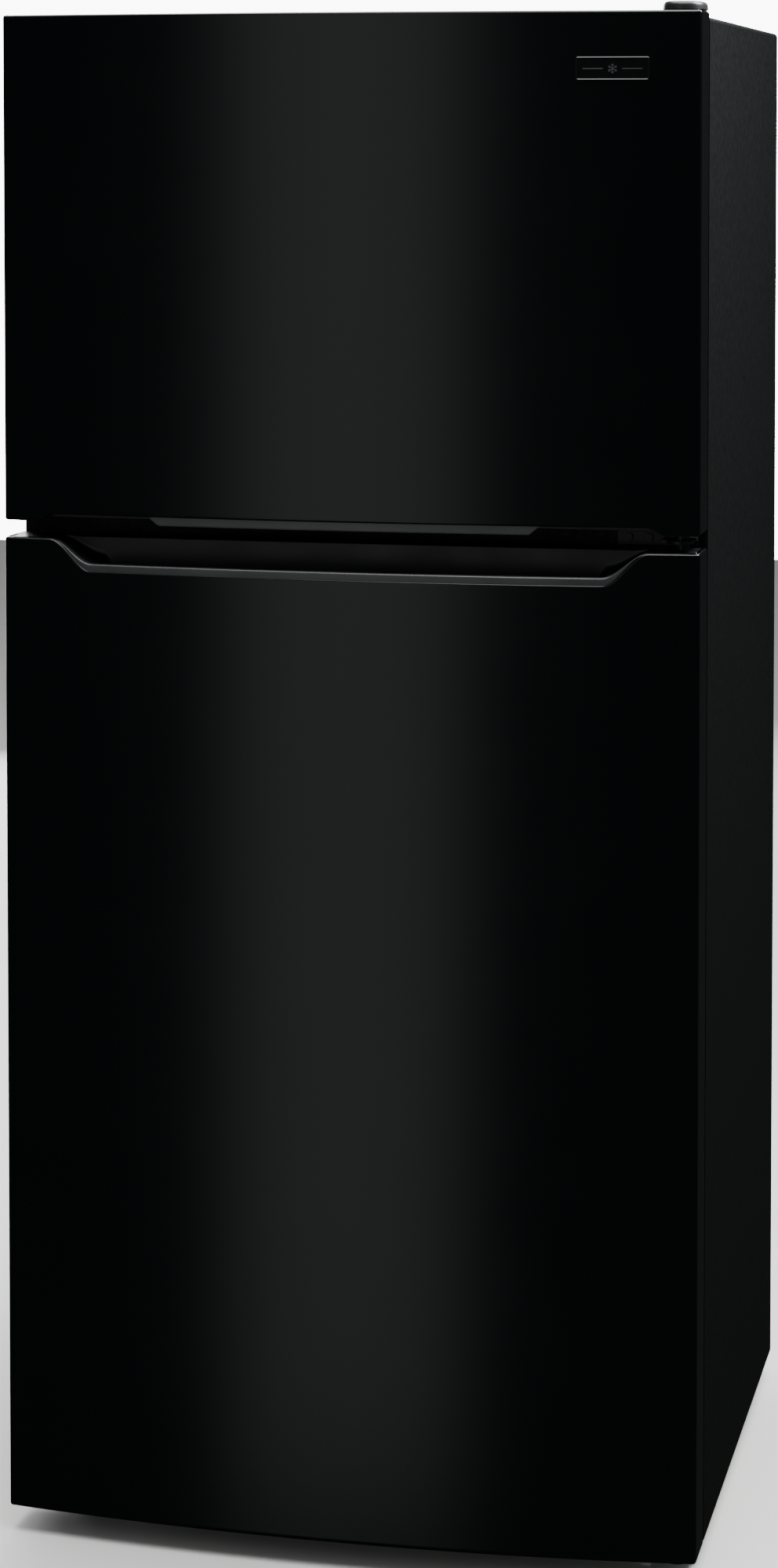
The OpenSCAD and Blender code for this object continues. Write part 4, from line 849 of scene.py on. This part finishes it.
def crisper_drawer(node, body):
    """Smoky drawer with a rolled rim and a grip bar under its front edge."""
    low, high = span(node)
    form = Form()
    tub(form, (low[0], low[1] + 6, low[2]), high, draft=4, r=14)
    form.slab((low[0] + 26, low[1] + 0.2, high[2] - 27), (high[0] - 26, low[1] + 9, high[2] - 20), 2.6)
    form.slab((low[0] + 26, low[1] + 0.2, high[2] - 21), (high[0] - 26, low[1] + 3.2, high[2] - 8), 1.2)
    for x in (low[0] + 24, (low[0] + high[0]) / 2 - 1.5, high[0] - 27):
        form.slab((x, low[1] + 1, high[2] - 26), (x + 3, low[1] + 9, high[2] - 8), 1.0)
    form.make(node + "_drawer", body, [crisper_ps], (node,), "clear_plastic")


crisper_drawer("crisper_left", "crisper_left_body")
crisper_drawer("crisper_right", "crisper_right_body")

(bin_left, bin_back, _), (bin_right, bin_front, _) = span("door_bins")
form = Form()
for x0, z0, z1, front in ((6, 884, 974, bin_front), (bin_left, 630, 735, bin_front),
                          (bin_left, 340, 450, bin_front), (bin_left, 160, 260, bin_front - 15)):
    tub(form, (x0, bin_back, z0), (bin_right, front, z1), draft=4, r=12, edge=1)
    form.slab((x0 + 18, front - 2.4, z0 + 24), (bin_right - 18, front - 1.2, z0 + 27), 0.5)
form.make("door_bin_set", "food_door_body", [clear_ps, white_abs], ("door_bins",), "clear_plastic")

(rack_left, rack_back, rack_z), (rack_right, rack_front, rack_top) = span("freezer_door_racks")
form = Form()
for z in (rack_z, rack_top - 72):
    tub(form, (rack_left, rack_back, z), (rack_right, rack_front, z + 42), draft=3, r=10, edge=1)
    form.slab((rack_left, rack_front - 6, z + 62), (rack_right, rack_front, z + 72), 2.2, 1)
    for x in (rack_left, -2.5, rack_right - 5):
        form.slab((x, rack_front - 3.4, z + 40), (x + 5, rack_front - 0.4, z + 65), 1.0, 1)
form.make("freezer_door_rack_set", "freezer_door_body", [clear_ps, white_abs], ("freezer_door_racks",),
          "clear_plastic")

low, high = span("drain_pan")
form = Form()
tub(form, low, high, wall=1.8, draft=4, r=14)
form.make("drain_tray", "cabinet", [black_pp], ("drain_pan",), "black_plastic")


# ---- Finishes of the CAD nodes that stay ----
kept = {
    "outer_case": case, "back_panel": galvanised, "cabinet_foam": foam, "centre_rail": case,
    "base_frame": black_steel, "toe_grille": black_pp, "compressor": compressor_paint,
    "condenser_coil": coil_paint, "condenser_fan_motor": zinc, "rear_cover": galvanised,
    "control_housing": white_abs, "light_lens": lens, "evaporator": fins, "evaporator_cover": white_abs,
    "evaporator_fan_motor": zinc,
    "freezer_shelf": wire_coat, "shelf_frames": white_abs, "shelf_glass": glass, "crisper_cover": white_abs,
    "crisper_glass": glass, "top_hinge": black_steel, "centre_hinge": black_steel,
    "bottom_hinge": black_steel, "hinge_screws": black_steel, "roller_axles": zinc,
    "condenser_fan": black_pp, "evaporator_fan": white_abs,
    "temperature_knob": grey_abs, "freezer_knob": grey_abs, "door_switch": white_abs,
    "leveling_leg_left": black_pp, "leveling_leg_right": black_pp, "rear_roller_left": black_pp,
    "rear_roller_right": black_pp, "humidity_slide_left": grey_abs, "humidity_slide_right": grey_abs,
    "freezer_door_foam": foam, "food_door_foam": foam, "dairy_box": clear_ps, "dairy_lid": clear_ps,
}
for node, material in kept.items():
    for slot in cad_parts[node].material_slots:
        slot.material = material

# Pressed, folded and moulded parts get eased edges in millimetres; turned and wire parts are already round.
eased_edges = {
    "centre_rail": 0.4, "base_frame": 0.6, "toe_grille": 0.6, "condenser_fan_motor": 0.5, "rear_cover": 0.4,
    "control_housing": 1.6, "light_lens": 1.0, "evaporator_cover": 0.6, "evaporator_fan_motor": 0.5,
    "shelf_frames": 1.0, "shelf_glass": 0.5, "crisper_cover": 1.0, "crisper_glass": 0.5, "top_hinge": 0.4,
    "centre_hinge": 0.5, "bottom_hinge": 0.5, "humidity_slide_left": 0.6, "humidity_slide_right": 0.6,
    "dairy_box": 0.8, "dairy_lid": 0.5, "compressor": 0.8,
}
for node, width in eased_edges.items():
    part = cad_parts[node]
    weld = part.modifiers.new("weld", "WELD")
    weld.merge_threshold = 1e-5
    easing = part.modifiers.new("eased_edges", "BEVEL")
    easing.width, easing.segments, easing.limit_method = width * MM, 2, "ANGLE"
    easing.angle_limit, easing.use_clamp_overlap = math.radians(40), True
    weighted = part.modifiers.new("even_shading", "WEIGHTED_NORMAL")
    weighted.keep_sharp = True


# ---- Floor, light and camera ----
floor_mesh = bpy.data.meshes.new("studio_floor")
floor_mesh.from_pydata([(-9, -9, 0), (9, -9, 0), (9, 9, 0), (-9, 9, 0)], [], [(0, 1, 2, 3)])
floor_mesh.materials.append(studio_floor())
floor = bpy.data.objects.new("studio_floor", floor_mesh)
bpy.context.scene.collection.objects.link(floor)
floor.visible_glossy = False


def softbox(name, place, aim, wide, tall, watts):
    """A rectangular studio light pointed at a place on the refrigerator."""
    lamp = bpy.data.lights.new(name, "AREA")
    lamp.shape, lamp.size, lamp.size_y, lamp.energy = "RECTANGLE", wide, tall, watts
    light = bpy.data.objects.new(name, lamp)
    light.location = place
    light.rotation_euler = (Vector(aim) - Vector(place)).to_track_quat("-Z", "Y").to_euler()
    bpy.context.scene.collection.objects.link(light)


# The strip draws the upright highlight down the bowed doors; the small bank fades down the right side.
softbox("front_strip", (-0.86, -4.1, 1.0), (0, -0.36, 0.9), 1.15, 5.0, 10)
softbox("right_bank", (1.2, 0.15, 2.5), (0.38, 0.0, 1.75), 0.7, 0.7, 68)
softbox("rear_bank", (-1.9, 4.2, 1.7), (0, 0.36, 0.9), 3, 3, 160)
softbox("overhead_bank", (0.2, -0.2, 4.6), (0, 0, 1.6), 4, 4, 400)

# A white backdrop that lights the piece softly and is nearly black in its reflections.
world = bpy.data.worlds.new("studio_air")
world.use_nodes = True
air = world.node_tree
rays = add(air, "ShaderNodeLightPath")
seen = add(air, "ShaderNodeBackground", {"Color": linear("#ffffff"), "Strength": 10.0})
filling = add(air, "ShaderNodeBackground", {"Color": linear("#ffffff"), "Strength": 0.22})
mirrored = add(air, "ShaderNodeBackground", {"Color": linear("#ffffff"), "Strength": 0.02})
bounce = add(air, "ShaderNodeMixShader",
             {"Fac": rays.outputs["Is Glossy Ray"], 1: filling.outputs["Background"],
              2: mirrored.outputs["Background"]})
choice = add(air, "ShaderNodeMixShader", {"Fac": rays.outputs["Is Camera Ray"], 1: bounce.outputs["Shader"],
                                          2: seen.outputs["Background"]})
air.links.new(choice.outputs["Shader"], air.nodes["World Output"].inputs["Surface"])
bpy.context.scene.world = world

lens_data = bpy.data.cameras.new("studio_camera")
lens_data.lens, lens_data.sensor_width, lens_data.shift_y = 81.99, 36.0, -0.3008
camera = bpy.data.objects.new("studio_camera", lens_data)
camera.location = (0.8791, -4.0258, 1.534)
camera.rotation_euler = (math.pi / 2 - 0.048, 0, 0.2213)
bpy.context.scene.collection.objects.link(camera)
bpy.context.scene.camera = camera
